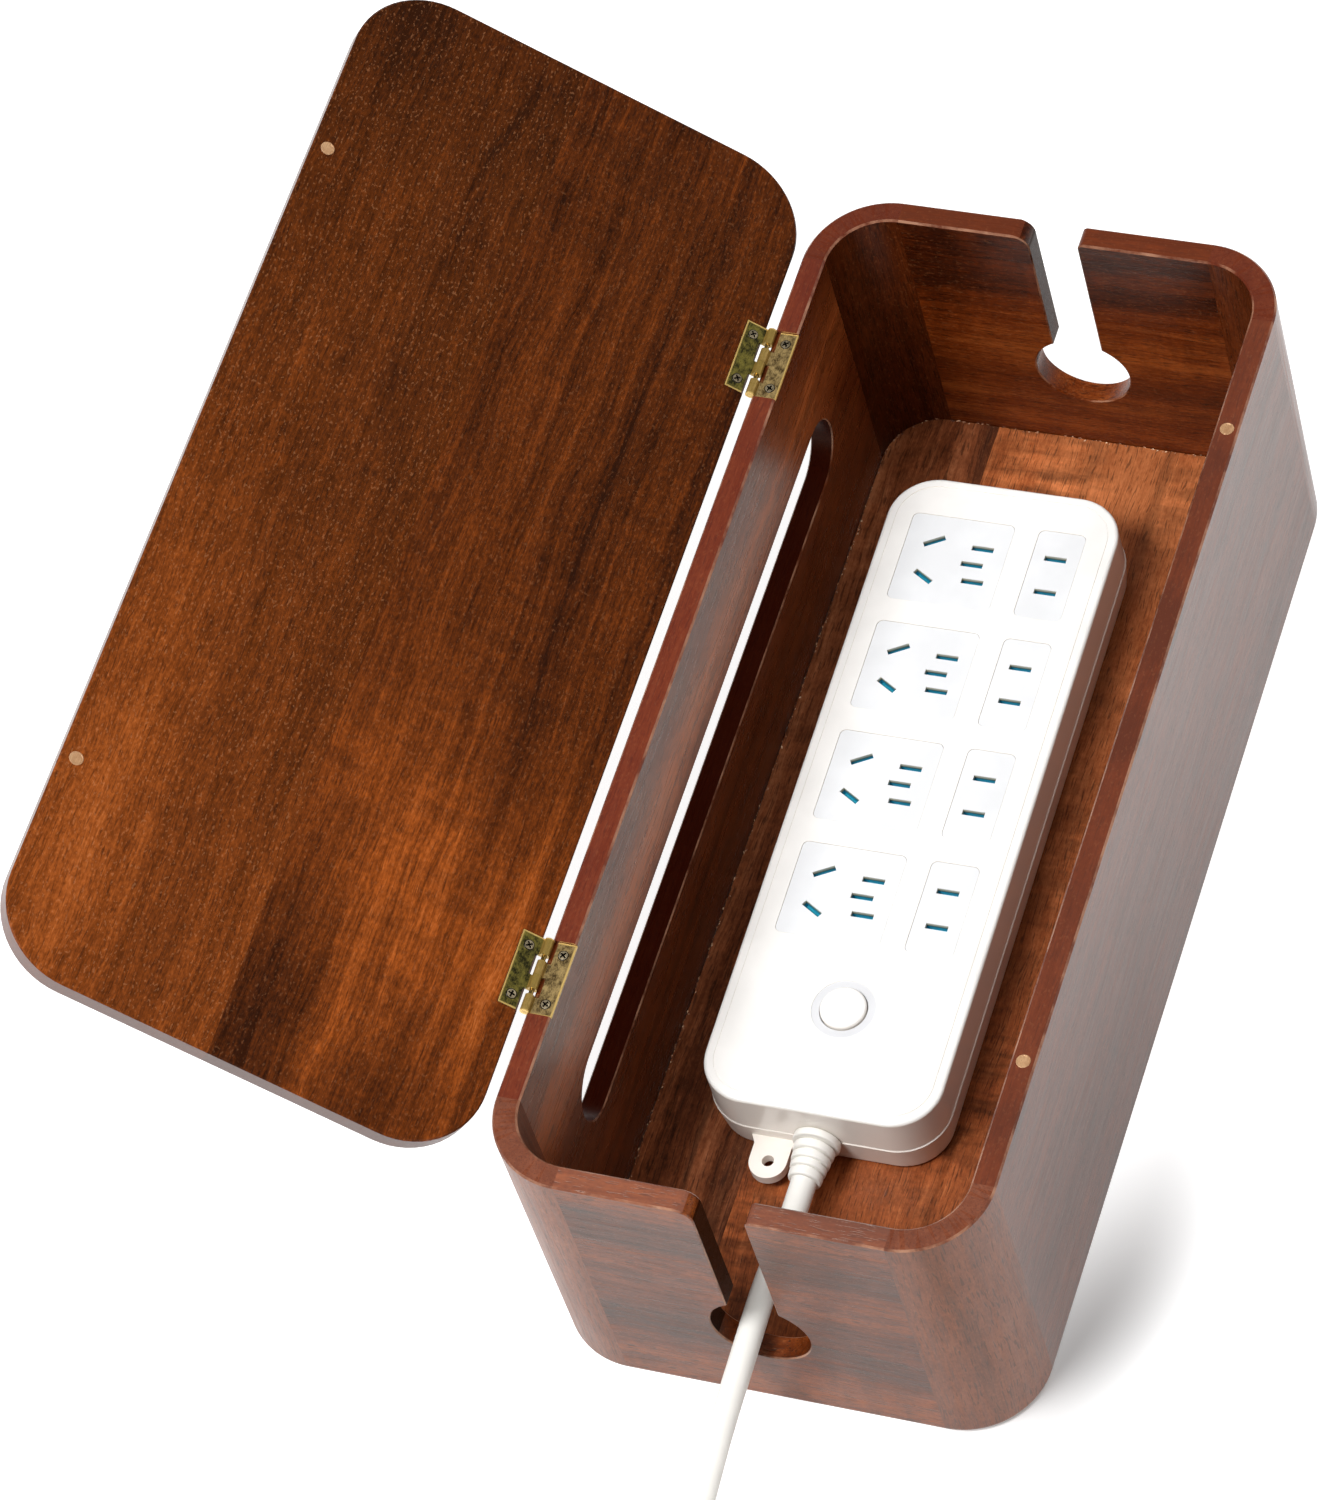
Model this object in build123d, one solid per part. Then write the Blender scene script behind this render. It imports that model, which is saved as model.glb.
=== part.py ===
from build123d import *
import os
from math import atan, cos, degrees, pi, radians, sin, tan

os.makedirs("parts", exist_ok=True)

# A hinged wooden box that hides a power strip. Millimetres, +Z up. The origin is
# the middle of the underside, +X runs along the box to its far end, and the
# hinges are on the +Y side. The lid is modelled as it stands open.

# ---- Box ----
box_length = 360.0
box_width = 153.0
box_height = 112.0
wall = 7.5
corner_radius = 26.0
foot_round = 2.5
rim_ease = 0.6
floor_thickness = 5.5
floor_gap = 0.25
floor_joint_back = 34.0
floor_joint_middle = -3.0
floor_joint_front = -37.0

# ---- Cable openings in the end walls ----
keyhole_radius = 15.5
keyhole_height = 43.0
neck_width = 16.0
mouth_round_back = 5.5
mouth_round_front = 2.5
opening_ease = 0.4

# ---- Air slot in the back wall ----
vent_end_margin = 52.0
vent_opening = 25.5
vent_height = 58.3

# ---- Lid ----
lid_thickness = 7.5
lid_gap = 0.6
lid_back_inset = 1.0
lid_overhang_front = 1.2
lid_edge_round = 1.6
lid_under_ease = 0.5
lid_back_board = 81.0
lid_open_angle = 146.15

# ---- Hinges ----
hinge_inset = 67.3
hinge_length = 25.0
leaf_reach = 8.4
leaf_thickness = 0.8
knuckle_radius = 1.45
knuckle_end = 5.65
knuckle_gap = 2.0
knuckle_play = 0.1
notch_reach = 2.6
pin_radius = 0.75
pin_clearance = 0.05
pin_outboard = 0.9
box_mortise = 1.6
mortise_gap = 0.15

# ---- Hinge screws ----
screw_pitch = 17.0
screw_reach = 5.3
screw_head_radius = 1.7
screw_head_depth = 0.7
screw_shank_radius = 0.95
screw_length = 5.5

# ---- Catch magnets ----
magnet_inset = 67.3
magnet_radius = 2.2
magnet_thickness = 3.0
magnet_proud = 0.15

# ---- Power strip: place, shells ----
strip_x = 15.2
strip_y = 11.7
strip_turn = 0.5
strip_length = 233.0
strip_width = 77.0
strip_height = 28.0
strip_corner = 16.0
strip_parting = 12.5
shell_wall = 2.0
shell_top = 2.2
shell_edge_round = 1.2
panel_inset = 3.4
panel_groove = 0.3
upper_inset = 0.35
lower_draft = 7.0
lower_round = 2.0
lip_ease = 0.35

# ---- Power strip: sockets ----
socket_pitch = 41.7
row_end_inset = 31.0
plate_length = 33.0
wide_plate_width = 33.8
wide_plate_y = 12.4
slim_plate_width = 15.4
slim_plate_y = -20.3
plate_corner = 2.0
plate_gap = 0.12
plate_recess = 0.15
plate_flange = 1.2
slot_length = 7.2
slot_width = 1.9
flat_pin_pitch = 12.7
slant_pin_pitch = 13.7
slant_angle = 30.0
slant_slot_y = 7.5
flat_slot_y = -8.7
earth_slot_y = -6.8

# ---- Power strip: inside ----
bus_width = 6.0
bus_thickness = 1.2
bus_height = 9.0
bus_positions = (20.0, 5.6, -20.3)
rib_thickness = 2.0

# ---- Power strip: switch ----
switch_end_inset = 37.3
button_radius = 7.3
button_height = 1.3
button_skirt = 6.5
button_flange = 1.0
button_clearance = 0.3
bezel_radius = 10.1
bezel_recess = 0.25
bezel_thickness = 1.6
switch_body_size = 18.0
switch_body_top = 13.0
spring_radius = 4.2
spring_wire = 0.5
spring_turns = 3

# ---- Power strip: screws, hanging ear, strain relief ----
case_screw_radius = 1.4
case_screw_head = 2.8
case_screw_inset = 9.5
boss_radius = 3.4
ear_y = 14.8
ear_reach = 7.6
ear_radius = 6.0
ear_hole = 1.9
ear_flare = 2.2
ear_top = 7.5
ear_thickness = 3.5
relief_length = 15.0
relief_flange_radius = 7.6
relief_flange = 2.6
relief_tip_radius = 5.8
relief_ribs = 4
relief_groove = 1.3
relief_collar = 6.6

# ---- Cord ----
cord_diameter = 8.0
cord_route = [
    (-116.3, 10.55, 18.0),
    (-124.0, 10.5, 18.0),
    (-135.0, 10.0, 19.8),
    (-146.5, 8.8, 24.8),
    (-158.0, 7.3, 30.6),
    (-169.0, 6.1, 34.0),
    (-182.0, 5.3, 35.4),
    (-195.5, 5.6, 33.6),
    (-208.5, 6.5, 29.6),
    (-221.5, 7.5, 23.8),
    (-234.5, 8.6, 17.4),
    (-247.5, 9.7, 11.2),
    (-260.5, 10.4, 6.4),
    (-274.5, 10.6, 4.0),
    (-292.0, 9.4, 4.0),
    (-312.0, 8.0, 4.0),
    (-332.0, 8.0, 4.0),
]
tail_route = [
    (-332.0, -88.0, 20.0),
    (-324.5, -88.0, 20.0),
    (-313.5, -88.0, 18.5),
    (-302.5, -88.0, 15.5),
    (-291.5, -88.0, 14.0),
    (-284.0, -88.0, 14.0),
]
coil_inner_turn = 40.0
coil_end = 28.0
coil_layers = 3
coil_edge = 2.6
tie_width = 9.0
tie_thickness = 0.8

# ---- Mains plug on the cord's far end ----
plug_tail = 20.0
plug_tail_radius = 5.6
plug_body = 34.0
plug_width = 30.0
plug_height = 28.0
plug_round = 5.0
blade_length = 18.0
blade_width = 6.4
blade_thickness = 1.6

# ---- Places worked out from the sizes above ----
inner_length = box_length - 2 * wall
inner_width = box_width - 2 * wall
inner_corner = corner_radius - wall
straight_x = box_length / 2 - corner_radius
straight_y = box_width / 2 - corner_radius
vent_length = box_length - 2 * vent_end_margin
pin_y = box_width / 2 + pin_outboard
pin_z = box_height - box_mortise + knuckle_radius
pin_axis = Axis((0, pin_y, pin_z), (1, 0, 0))
lid_underside = box_height + lid_gap
lid_mortise = pin_z + knuckle_radius - lid_underside
lid_back_y = box_width / 2 - lid_back_inset
lid_front_y = -box_width / 2 - lid_overhang_front
lid_width = lid_back_y - lid_front_y
magnet_y = -box_width / 2 + wall / 2
knuckle_mid = (hinge_length - 2 * knuckle_end - 2 * knuckle_gap) / 2
hinge_x = box_length / 2 - hinge_inset
hinge_places = {"near": -hinge_x, "far": hinge_x}
magnet_x = box_length / 2 - magnet_inset
strip_place = Pos(strip_x, strip_y, floor_thickness) * Rot(0, 0, strip_turn)
plate_under = strip_height - shell_top - plate_flange
first_row_x = strip_length / 2 - row_end_inset
switch_x = switch_end_inset - strip_length / 2
last_row_x = switch_x + bezel_radius + plate_flange + plate_length / 2
socket_rows = 1 + int((first_row_x - last_row_x) / socket_pitch)
coil_outer_turn = coil_inner_turn + cord_diameter
coil_x = cord_route[-1][0] - coil_end
coil_y = cord_route[-1][1] - coil_outer_turn
coil_top_turn = (coil_layers - 0.5) * cord_diameter

nodes = {}


def block(x0, x1, y0, y1, z0, z1):
    """A box between two corners."""
    size = Box(x1 - x0, y1 - y0, z1 - z0)
    return Pos((x0 + x1) / 2, (y0 + y1) / 2, (z0 + z1) / 2) * size


def slab(outline, z0, z1):
    """A flat outline raised from z0 to z1."""
    return extrude(Pos(0, 0, z0) * outline, amount=z1 - z0)


def opened(shape):
    """A lid piece, drawn shut, swung back to where the lid stands open."""
    return shape.rotate(pin_axis, -lid_open_angle)


# ---- Hinges: drawn at the pin, the box leaf lying on the wood below it ----
def hinge_leaf():
    """The box leaf: a notched plate that curls into an end and a middle knuckle."""
    half = hinge_length / 2
    own_spans = [(-half, -half + knuckle_end), (knuckle_play / 2, knuckle_mid)]
    plate_top = -knuckle_radius + leaf_thickness
    leaf = block(-half, half, -leaf_reach, -notch_reach, -knuckle_radius, plate_top)
    for x0, x1 in own_spans:
        leaf += block(x0, x1, -notch_reach, 0, -knuckle_radius, plate_top)
        leaf += Pos((x0 + x1) / 2, 0, 0) * Rot(0, 90, 0) * Cylinder(knuckle_radius, x1 - x0)
    leaf -= Rot(0, 90, 0) * Cylinder(pin_radius + pin_clearance, hinge_length + 2)
    for x in (-screw_pitch / 2, screw_pitch / 2):
        leaf -= Pos(x, -screw_reach, plate_top) * screw_profile()
    return leaf


def screw_profile():
    """A countersunk wood screw, head up, its top face on the XY plane."""
    tip = screw_length - 1.5
    outline = Polyline(
        (0, 0),
        (screw_head_radius, 0),
        (screw_shank_radius, -screw_head_depth),
        (screw_shank_radius, -tip),
        (0, -screw_length),
        close=True,
    )
    return revolve(Plane.XZ * make_face(outline), Axis.Z)


def leaf_screws():
    """The two screws of one box leaf."""
    top = -knuckle_radius + leaf_thickness
    places = (-screw_pitch / 2, screw_pitch / 2)
    return [Pos(x, -screw_reach, top) * screw_profile() for x in places]


def turned_over(shape):
    """The box leaf turned end for end about Y becomes the lid leaf."""
    return Rot(0, 180, 0) * shape


def at_hinge(x, shape):
    return Pos(x, pin_y, pin_z) * shape


# ---- Box walls: one rounded ring, cut, then parted at its glue lines ----
def eased_cutter(outline):
    """A cut through a wall whose outer face is the XY plane, eased on both faces."""
    flare = offset(outline, amount=opening_ease, kind=Kind.INTERSECTION)
    wedge = extrude(flare, amount=-opening_ease, taper=45)
    inner = Pos(0, 0, -wall) * mirror(wedge, Plane.XY)
    return Pos(0, 0, 2 - wall) * extrude(outline, amount=wall, both=True) + wedge + inner


def keyhole_cutter():
    """Round cable hole with a neck up to the rim, its mouth rounded on both sides."""
    side = neck_width / 2
    neck_height = box_height - keyhole_height
    hole = Pos(0, keyhole_height) * Circle(keyhole_radius)
    hole += Pos(0, keyhole_height + neck_height / 2) * Rectangle(neck_width, neck_height)
    for sign, radius in ((1, mouth_round_back), (-1, mouth_round_front)):
        corner = Pos(sign * (side + radius / 2), box_height - radius / 2)
        flare = corner * Rectangle(radius, radius)
        hole += flare - Pos(sign * (side + radius), box_height - radius) * Circle(radius)
    hole += Pos(0, box_height + wall / 2) * Rectangle(3 * neck_width, wall)
    return eased_cutter(hole)


def vent_cutter():
    """Long slot with round ends."""
    return eased_cutter(Pos(0, vent_height) * SlotOverall(vent_length, vent_opening))


def wall_ring():
    outside = slab(RectangleRounded(box_length, box_width, corner_radius), 0, box_height)
    outside = fillet(outside.edges().group_by(Axis.Z)[0], foot_round)
    outside = chamfer(outside.edges().group_by(Axis.Z)[-1], rim_ease)
    inside_outline = RectangleRounded(inner_length, inner_width, inner_corner)
    ring = outside - slab(inside_outline, -1, box_height + 1)
    eased = Pos(0, 0, box_height - rim_ease) * inside_outline
    return ring - extrude(eased, amount=rim_ease, taper=-45)


def cut_openings(ring):
    keyhole = Pos(box_length / 2, 0, 0) * Plane.YZ.location * keyhole_cutter()
    back_face = Plane(origin=(0, box_width / 2, 0), x_dir=(-1, 0, 0), z_dir=(0, 1, 0))
    ring = ring - keyhole - mirror(keyhole, Plane.YZ)
    return ring - back_face.location * vent_cutter()


def cut_hinge_seats(ring):
    half = hinge_length / 2 + mortise_gap
    y0 = box_width / 2 - wall - 1
    seat_z = box_height - box_mortise
    for x in hinge_places.values():
        ring -= block(x - half, x + half, y0, box_width / 2 + 1, seat_z, box_height + 1)
        for screw in leaf_screws():
            ring -= at_hinge(x, screw)
    return ring


def rim_magnets():
    top = box_height + magnet_proud
    disc = Cylinder(magnet_radius, magnet_thickness, align=(Align.CENTER, Align.CENTER, Align.MAX))
    return [Pos(x, magnet_y, top) * disc for x in (-magnet_x, magnet_x)]


def build_box():
    ring = cut_hinge_seats(cut_openings(wall_ring()))
    for magnet in rim_magnets():
        ring -= magnet
    half_x = box_length / 2 + 1
    half_y = box_width / 2 + 1
    top = box_height + 1
    nodes["front_wall"] = ring & block(-straight_x, straight_x, -half_y, -straight_y, -1, top)
    nodes["back_wall"] = ring & block(-straight_x, straight_x, straight_y, half_y, -1, top)
    nodes["near_end_wall"] = ring & block(-half_x, -straight_x, -straight_y, straight_y, -1, top)
    nodes["far_end_wall"] = ring & block(straight_x, half_x, -straight_y, straight_y, -1, top)
    for x_name, x_sign in (("near", -1), ("far", 1)):
        for y_name, y_sign in (("front", -1), ("back", 1)):
            x0, x1 = sorted((x_sign * straight_x, x_sign * half_x))
            y0, y1 = sorted((y_sign * straight_y, y_sign * half_y))
            nodes[f"corner_post_{x_name}_{y_name}"] = ring & block(x0, x1, y0, y1, -1, top)
    nodes["rim_magnets"] = Compound(rim_magnets())


def build_floor():
    """The bottom panel, glued up from four boards."""
    length = inner_length - 2 * floor_gap
    width = inner_width - 2 * floor_gap
    panel = slab(RectangleRounded(length, width, inner_corner - floor_gap), 0, floor_thickness)
    joints = [width / 2, floor_joint_back, floor_joint_middle, floor_joint_front, -width / 2]
    names = ["back", "middle", "centre", "front"]
    for name, y1, y0 in zip(names, joints, joints[1:]):
        board = block(-length / 2, length / 2, y0, y1, -1, floor_thickness + 1)
        nodes[f"floor_board_{name}"] = panel & board


# ---- Lid ----
def lid_magnets():
    bottom = lid_underside - magnet_proud
    disc = Cylinder(magnet_radius, magnet_thickness, align=(Align.CENTER, Align.CENTER, Align.MIN))
    return [Pos(x, magnet_y, bottom) * disc for x in (-magnet_x, magnet_x)]


def build_lid():
    middle_y = (lid_back_y + lid_front_y) / 2
    outline = Pos(0, middle_y) * RectangleRounded(box_length, lid_width, corner_radius)
    lid = slab(outline, lid_underside, lid_underside + lid_thickness)
    lid = fillet(lid.edges().group_by(Axis.Z)[-1], lid_edge_round)
    lid = chamfer(lid.edges().group_by(Axis.Z)[0], lid_under_ease)
    half = hinge_length / 2 + mortise_gap
    leaf_y = pin_y - leaf_reach - mortise_gap
    for x in hinge_places.values():
        seat_top = lid_underside + lid_mortise
        lid -= block(x - half, x + half, leaf_y, lid_back_y + 1, lid_underside - 1, seat_top)
        for screw in leaf_screws():
            lid -= at_hinge(x, turned_over(screw))
    for magnet in lid_magnets():
        lid -= magnet
    joint_y = lid_back_y - lid_back_board
    reach = box_length
    top = lid_underside + lid_thickness + 1
    back = block(-reach, reach, joint_y, lid_back_y + 1, lid_underside - 1, top)
    front = block(-reach, reach, lid_front_y - 1, joint_y, lid_underside - 1, top)
    nodes["lid_board_back"] = opened(lid & back)
    nodes["lid_board_front"] = opened(lid & front)
    nodes["lid_magnets"] = Compound([opened(magnet) for magnet in lid_magnets()])


def build_hinges():
    box_screws = []
    lid_screws = []
    pin = Rot(0, 90, 0) * Cylinder(pin_radius, hinge_length)
    for name, x in hinge_places.items():
        nodes[f"hinge_box_leaf_{name}"] = at_hinge(x, hinge_leaf())
        nodes[f"hinge_lid_leaf_{name}"] = opened(at_hinge(x, turned_over(hinge_leaf())))
        nodes[f"hinge_pin_{name}"] = at_hinge(x, pin)
        box_screws += [at_hinge(x, screw) for screw in leaf_screws()]
        lid_screws += [opened(at_hinge(x, turned_over(screw))) for screw in leaf_screws()]
    nodes["hinge_box_screws"] = Compound(box_screws)
    nodes["hinge_lid_screws"] = Compound(lid_screws)


# ---- Power strip: drawn about its own middle, standing on z = 0 ----
def strip_outline(inset=0.0):
    return RectangleRounded(
        strip_length - 2 * inset, strip_width - 2 * inset, strip_corner - inset
    )


def plate_outline(width, grow=0.0):
    return RectangleRounded(plate_length + 2 * grow, width + 2 * grow, plate_corner + grow)


def socket_places():
    return [first_row_x - row * socket_pitch for row in range(socket_rows)]


def case_screw_places():
    x = strip_length / 2 - case_screw_inset
    y = strip_width / 2 - case_screw_inset
    return [(sx * x, sy * y) for sx in (-1, 1) for sy in (-1, 1)]


def relief_hole():
    """The round hole that both shells share for the strain relief's neck."""
    along = Rot(0, 90, 0) * Cylinder(relief_collar - 1.2, 4 * shell_wall)
    return Pos(-strip_length / 2, 0, strip_parting) * along


def upper_shell():
    shell = slab(strip_outline(upper_inset), strip_parting, strip_height)
    shell = fillet(shell.edges().group_by(Axis.Z)[-1], shell_edge_round)
    cavity_top = strip_height - shell_top
    shell -= slab(strip_outline(upper_inset + shell_wall), strip_parting - 1, cavity_top)
    groove = strip_outline(panel_inset) - strip_outline(panel_inset + panel_groove)
    shell -= slab(groove, strip_height - panel_groove, strip_height + 1)
    for x, y in case_screw_places():
        boss = Pos(x, y, (strip_parting + cavity_top) / 2)
        shell += boss * Cylinder(boss_radius, cavity_top - strip_parting)
        shell -= Pos(x, y, strip_parting + 4) * Cylinder(case_screw_radius, 8)
    for x in socket_places():
        for width, y in ((wide_plate_width, wide_plate_y), (slim_plate_width, slim_plate_y)):
            window = Pos(x, y) * plate_outline(width, plate_gap)
            shell -= slab(window, cavity_top - 1, strip_height + 1)
    shell -= Pos(switch_x, 0, strip_height - shell_top) * Cylinder(bezel_radius, 3 * shell_top)
    return shell - relief_hole()


def lower_shell():
    outline = Pos(0, 0, strip_parting) * strip_outline()
    shell = extrude(outline, amount=-strip_parting, taper=lower_draft)
    shell = fillet(shell.edges().group_by(Axis.Z)[0], lower_round)
    shell = chamfer(shell.edges().group_by(Axis.Z)[-1], lip_ease)
    draft = strip_parting * tan(radians(lower_draft))
    shell -= slab(strip_outline(shell_wall + draft), shell_wall, strip_parting + 1)
    rib_y = strip_width / 2 - shell_wall - draft - 0.5
    for row in range(socket_rows + 1):
        x = first_row_x + (0.5 - row) * socket_pitch
        shell += block(x, x + rib_thickness, -rib_y, rib_y, shell_wall, bus_height)
    for x, y in case_screw_places():
        boss = Pos(x, y, (strip_parting + shell_wall) / 2)
        shell += boss * Cylinder(boss_radius, strip_parting - shell_wall)
        shell -= Pos(x, y, 0) * Cylinder(case_screw_head, 4.0)
        shell -= Pos(x, y, strip_parting / 2) * Cylinder(case_screw_radius, 2 * strip_parting)
    shell += hanging_ear()
    return shell - relief_hole()


def hanging_ear():
    """A flat tab with a nail hole, out from the near end of the lower shell."""
    edge = -strip_length / 2
    tab = Pos(edge - ear_reach, ear_y) * Circle(ear_radius)
    tab += Pos(edge - ear_reach / 2 + 0.9, ear_y) * Rectangle(ear_reach + 1.8, 2 * ear_radius)
    root = ear_radius + ear_flare
    flare = Polyline(
        (edge + 1.8, ear_y - root),
        (edge + 1.8, ear_y + root),
        (edge - ear_flare, ear_y + ear_radius),
        (edge - ear_flare, ear_y - ear_radius),
        close=True,
    )
    tab += make_face(flare)
    tab -= Pos(edge - ear_reach, ear_y) * Circle(ear_hole)
    return slab(tab, ear_top - ear_thickness, ear_top)


def socket_slots(kind):
    """The pin slots of one plate, about the plate's middle."""
    across = Rectangle(slot_width, slot_length)
    if kind == "slim":
        return [Pos(sign * flat_pin_pitch / 2, 0) * across for sign in (1, -1)]
    flat = [Pos(sign * flat_pin_pitch / 2, flat_slot_y) * across for sign in (1, -1)]
    slant = [
        Pos(sign * slant_pin_pitch / 2, slant_slot_y) * Rot(0, 0, sign * slant_angle) * across
        for sign in (1, -1)
    ]
    return flat + slant + [Pos(0, earth_slot_y) * across]


def socket_plate(kind):
    width = wide_plate_width if kind == "wide" else slim_plate_width
    cavity_top = strip_height - shell_top
    plate = slab(plate_outline(width), cavity_top, strip_height - plate_recess)
    plate += slab(plate_outline(width, plate_flange), plate_under, cavity_top)
    for slot in socket_slots(kind):
        plate -= slab(slot, plate_under - 1, strip_height + 1)
    return plate


def contact_carrier(kind):
    """The coloured insulator behind one row of plates, resting on its bus bars."""
    width = wide_plate_width if kind == "wide" else slim_plate_width
    run = (socket_rows - 1) * socket_pitch + plate_length - 2
    middle = first_row_x - (socket_rows - 1) * socket_pitch / 2
    y = wide_plate_y if kind == "wide" else slim_plate_y
    body = Pos(middle, y) * Rectangle(run, width - 2)
    return slab(body, bus_height + bus_thickness, plate_under)


def bus_bar(y):
    run = (socket_rows - 1) * socket_pitch + plate_length - 2
    middle = first_row_x - (socket_rows - 1) * socket_pitch / 2
    return slab(Pos(middle, y) * Rectangle(run, bus_width), bus_height, bus_height + bus_thickness)


def build_strip_case():
    nodes["strip_upper_shell"] = strip_place * upper_shell()
    nodes["strip_lower_shell"] = strip_place * lower_shell()
    for kind, y in (("wide", wide_plate_y), ("slim", slim_plate_y)):
        plate = socket_plate(kind)
        for row, x in enumerate(socket_places(), start=1):
            nodes[f"socket_plate_{kind}_{row}"] = strip_place * Pos(x, y, 0) * plate
        nodes[f"contact_carrier_{kind}"] = strip_place * contact_carrier(kind)
    for name, y in zip(("live", "earth", "neutral"), bus_positions):
        nodes[f"bus_bar_{name}"] = strip_place * bus_bar(y)
    screw = Pos(0, 0, 2.0) * Cylinder(
        case_screw_head - 0.1, 1.6, align=(Align.CENTER, Align.CENTER, Align.MAX)
    )
    reach = strip_parting + 7.0
    screw += Pos(0, 0, 2.0) * Cylinder(
        case_screw_radius, reach - 2.0, align=(Align.CENTER, Align.CENTER, Align.MIN)
    )
    screws = [strip_place * Pos(x, y, 0) * screw for x, y in case_screw_places()]
    nodes["strip_case_screws"] = Compound(screws)


def switch_button():
    """Domed cap with a stop flange that bears on the underside of the bezel."""
    top = strip_height + button_height
    flange_top = strip_height - bezel_recess - bezel_thickness - 0.1
    cap = Cylinder(button_radius, button_skirt, align=(Align.CENTER, Align.CENTER, Align.MAX))
    cap = fillet(cap.edges().group_by(Axis.Z)[-1], 0.9)
    cap = Pos(0, 0, top) * cap
    flange = Cylinder(
        button_radius + 1.2, button_flange, align=(Align.CENTER, Align.CENTER, Align.MAX)
    )
    return cap + Pos(0, 0, flange_top) * flange


def build_switch():
    place = strip_place * Pos(switch_x, 0, 0)
    ring = Circle(bezel_radius) - Circle(button_radius + button_clearance)
    bezel_top = strip_height - bezel_recess
    nodes["switch_bezel"] = place * slab(ring, bezel_top - bezel_thickness, bezel_top)
    nodes["switch_button"] = place * switch_button()
    half = switch_body_size / 2
    body = block(-half, half, -half, half, shell_wall, switch_body_top)
    nodes["switch_body"] = place * body
    spring_length = strip_height + button_height - button_skirt - switch_body_top
    coil_height = spring_length - 2 * spring_wire
    helix = Helix(coil_height / spring_turns, coil_height, spring_radius)
    start = Plane(origin=helix @ 0, z_dir=helix % 0)
    spring = sweep(start * Circle(spring_wire), path=helix)
    nodes["switch_spring"] = place * Pos(0, 0, switch_body_top + spring_wire) * spring


def strain_relief():
    """A ribbed sleeve that tapers from its flange to the cord, turned about -X."""
    points = [(0, 0), (0, relief_collar), (shell_wall, relief_collar)]
    neck = relief_collar - 1.3
    draft = strip_parting * tan(radians(lower_draft))
    body_start = 2 * shell_wall + draft + 0.1
    points += [(shell_wall, neck), (body_start, neck), (body_start, relief_flange_radius)]
    points += [(body_start + relief_flange, relief_flange_radius)]
    run = relief_length - relief_flange
    pitch = run / relief_ribs
    drop = (relief_flange_radius - relief_tip_radius) / relief_ribs
    for rib in range(relief_ribs):
        radius = relief_flange_radius - (rib + 1) * drop
        start = body_start + relief_flange + rib * pitch
        points += [(start, radius - relief_groove), (start + 0.35 * pitch, radius - relief_groove)]
        points += [(start + 0.35 * pitch, radius), (start + pitch, radius)]
    points += [(body_start + relief_length, 0)]
    profile = make_face(Polyline(*points, close=True))
    sleeve = revolve(profile, Axis.X)
    return Pos(-strip_length / 2 + body_start, 0, strip_parting) * Rot(0, 0, 180) * sleeve


# ---- Cord ----
def corner_radii(points):
    """As large an arc at each corner as its two runs allow."""
    spots = [Vector(*point) for point in points]
    radii = []
    for before, here, after in zip(spots, spots[1:], spots[2:]):
        turn = radians((here - before).get_angle(after - here))
        shorter = min((here - before).length, (after - here).length)
        radii.append(0.45 * shorter / tan(turn / 2))
    return radii


def cord_tube(points):
    radii = corner_radii(points)
    path = FilletPolyline(*points, radius=radii)
    section = Plane(origin=path @ 0, z_dir=path % 0) * Circle(cord_diameter / 2)
    tube = sweep(section, path=path)
    expected = pi * (cord_diameter / 2) ** 2 * path.length
    print("cord run", round(path.length, 1), "radii", [round(r) for r in radii])
    print("volume over section times length", round(tube.volume / expected, 4))
    return tube


def cord_coil():
    """The outer shape of the wound length: three layers of turns, two abreast."""
    outer = coil_outer_turn + cord_diameter / 2
    inner = coil_inner_turn - cord_diameter / 2
    ring = slab(Circle(outer) - Circle(inner), 0, coil_layers * cord_diameter)
    coil = chamfer(ring.edges().filter_by(GeomType.CIRCLE), coil_edge)
    length = Cylinder(
        cord_diameter / 2, coil_end, align=(Align.CENTER, Align.CENTER, Align.MIN)
    )
    for y, z in ((coil_outer_turn, cord_diameter / 2), (-coil_outer_turn, coil_top_turn)):
        coil += Pos(0, y, z) * Rot(0, 90, 0) * length
    return Pos(coil_x, coil_y, 0) * coil


def cord_tie():
    """A strap round the turns on the side away from the box."""
    outer = coil_outer_turn + cord_diameter / 2
    inner = coil_inner_turn - cord_diameter / 2
    height = coil_layers * cord_diameter
    half = tie_width / 2
    left = coil_x - outer - tie_thickness
    right = coil_x - inner + tie_thickness
    y0 = coil_y - half
    y1 = coil_y + half
    strap = block(left, right, y0, y1, 0, height + tie_thickness)
    hollow = (left + tie_thickness, right - tie_thickness, y0 - 1, y1 + 1)
    return strap - block(*hollow, tie_thickness, height)


def mains_plug():
    """A moulded three-pin plug lying on its side, with a tapered cord tail."""
    start = Vector(*tail_route[-1])
    tail = extrude(Circle(plug_tail_radius), amount=plug_tail + 2, taper=-4)
    body_x = plug_tail + plug_body / 2
    body = Box(plug_body, plug_width, plug_height)
    body = fillet(body.edges(), plug_round)
    whole = Rot(0, 90, 0) * tail + Pos(body_x, 0, 0) * body
    return Pos(start.X, start.Y, start.Z) * whole


def plug_pins():
    start = Vector(*tail_route[-1])
    front = start.X + plug_tail + plug_body
    blade = Box(blade_length, blade_thickness, blade_width)
    spots = [(slant_pin_pitch / 2, slant_slot_y - 4, -slant_angle)]
    spots += [(-slant_pin_pitch / 2, slant_slot_y - 4, slant_angle), (0, earth_slot_y, 0)]
    return [
        Pos(front + blade_length / 2, start.Y + y, start.Z + z) * Rot(turn, 0, 0) * blade
        for y, z, turn in spots
    ]


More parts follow.
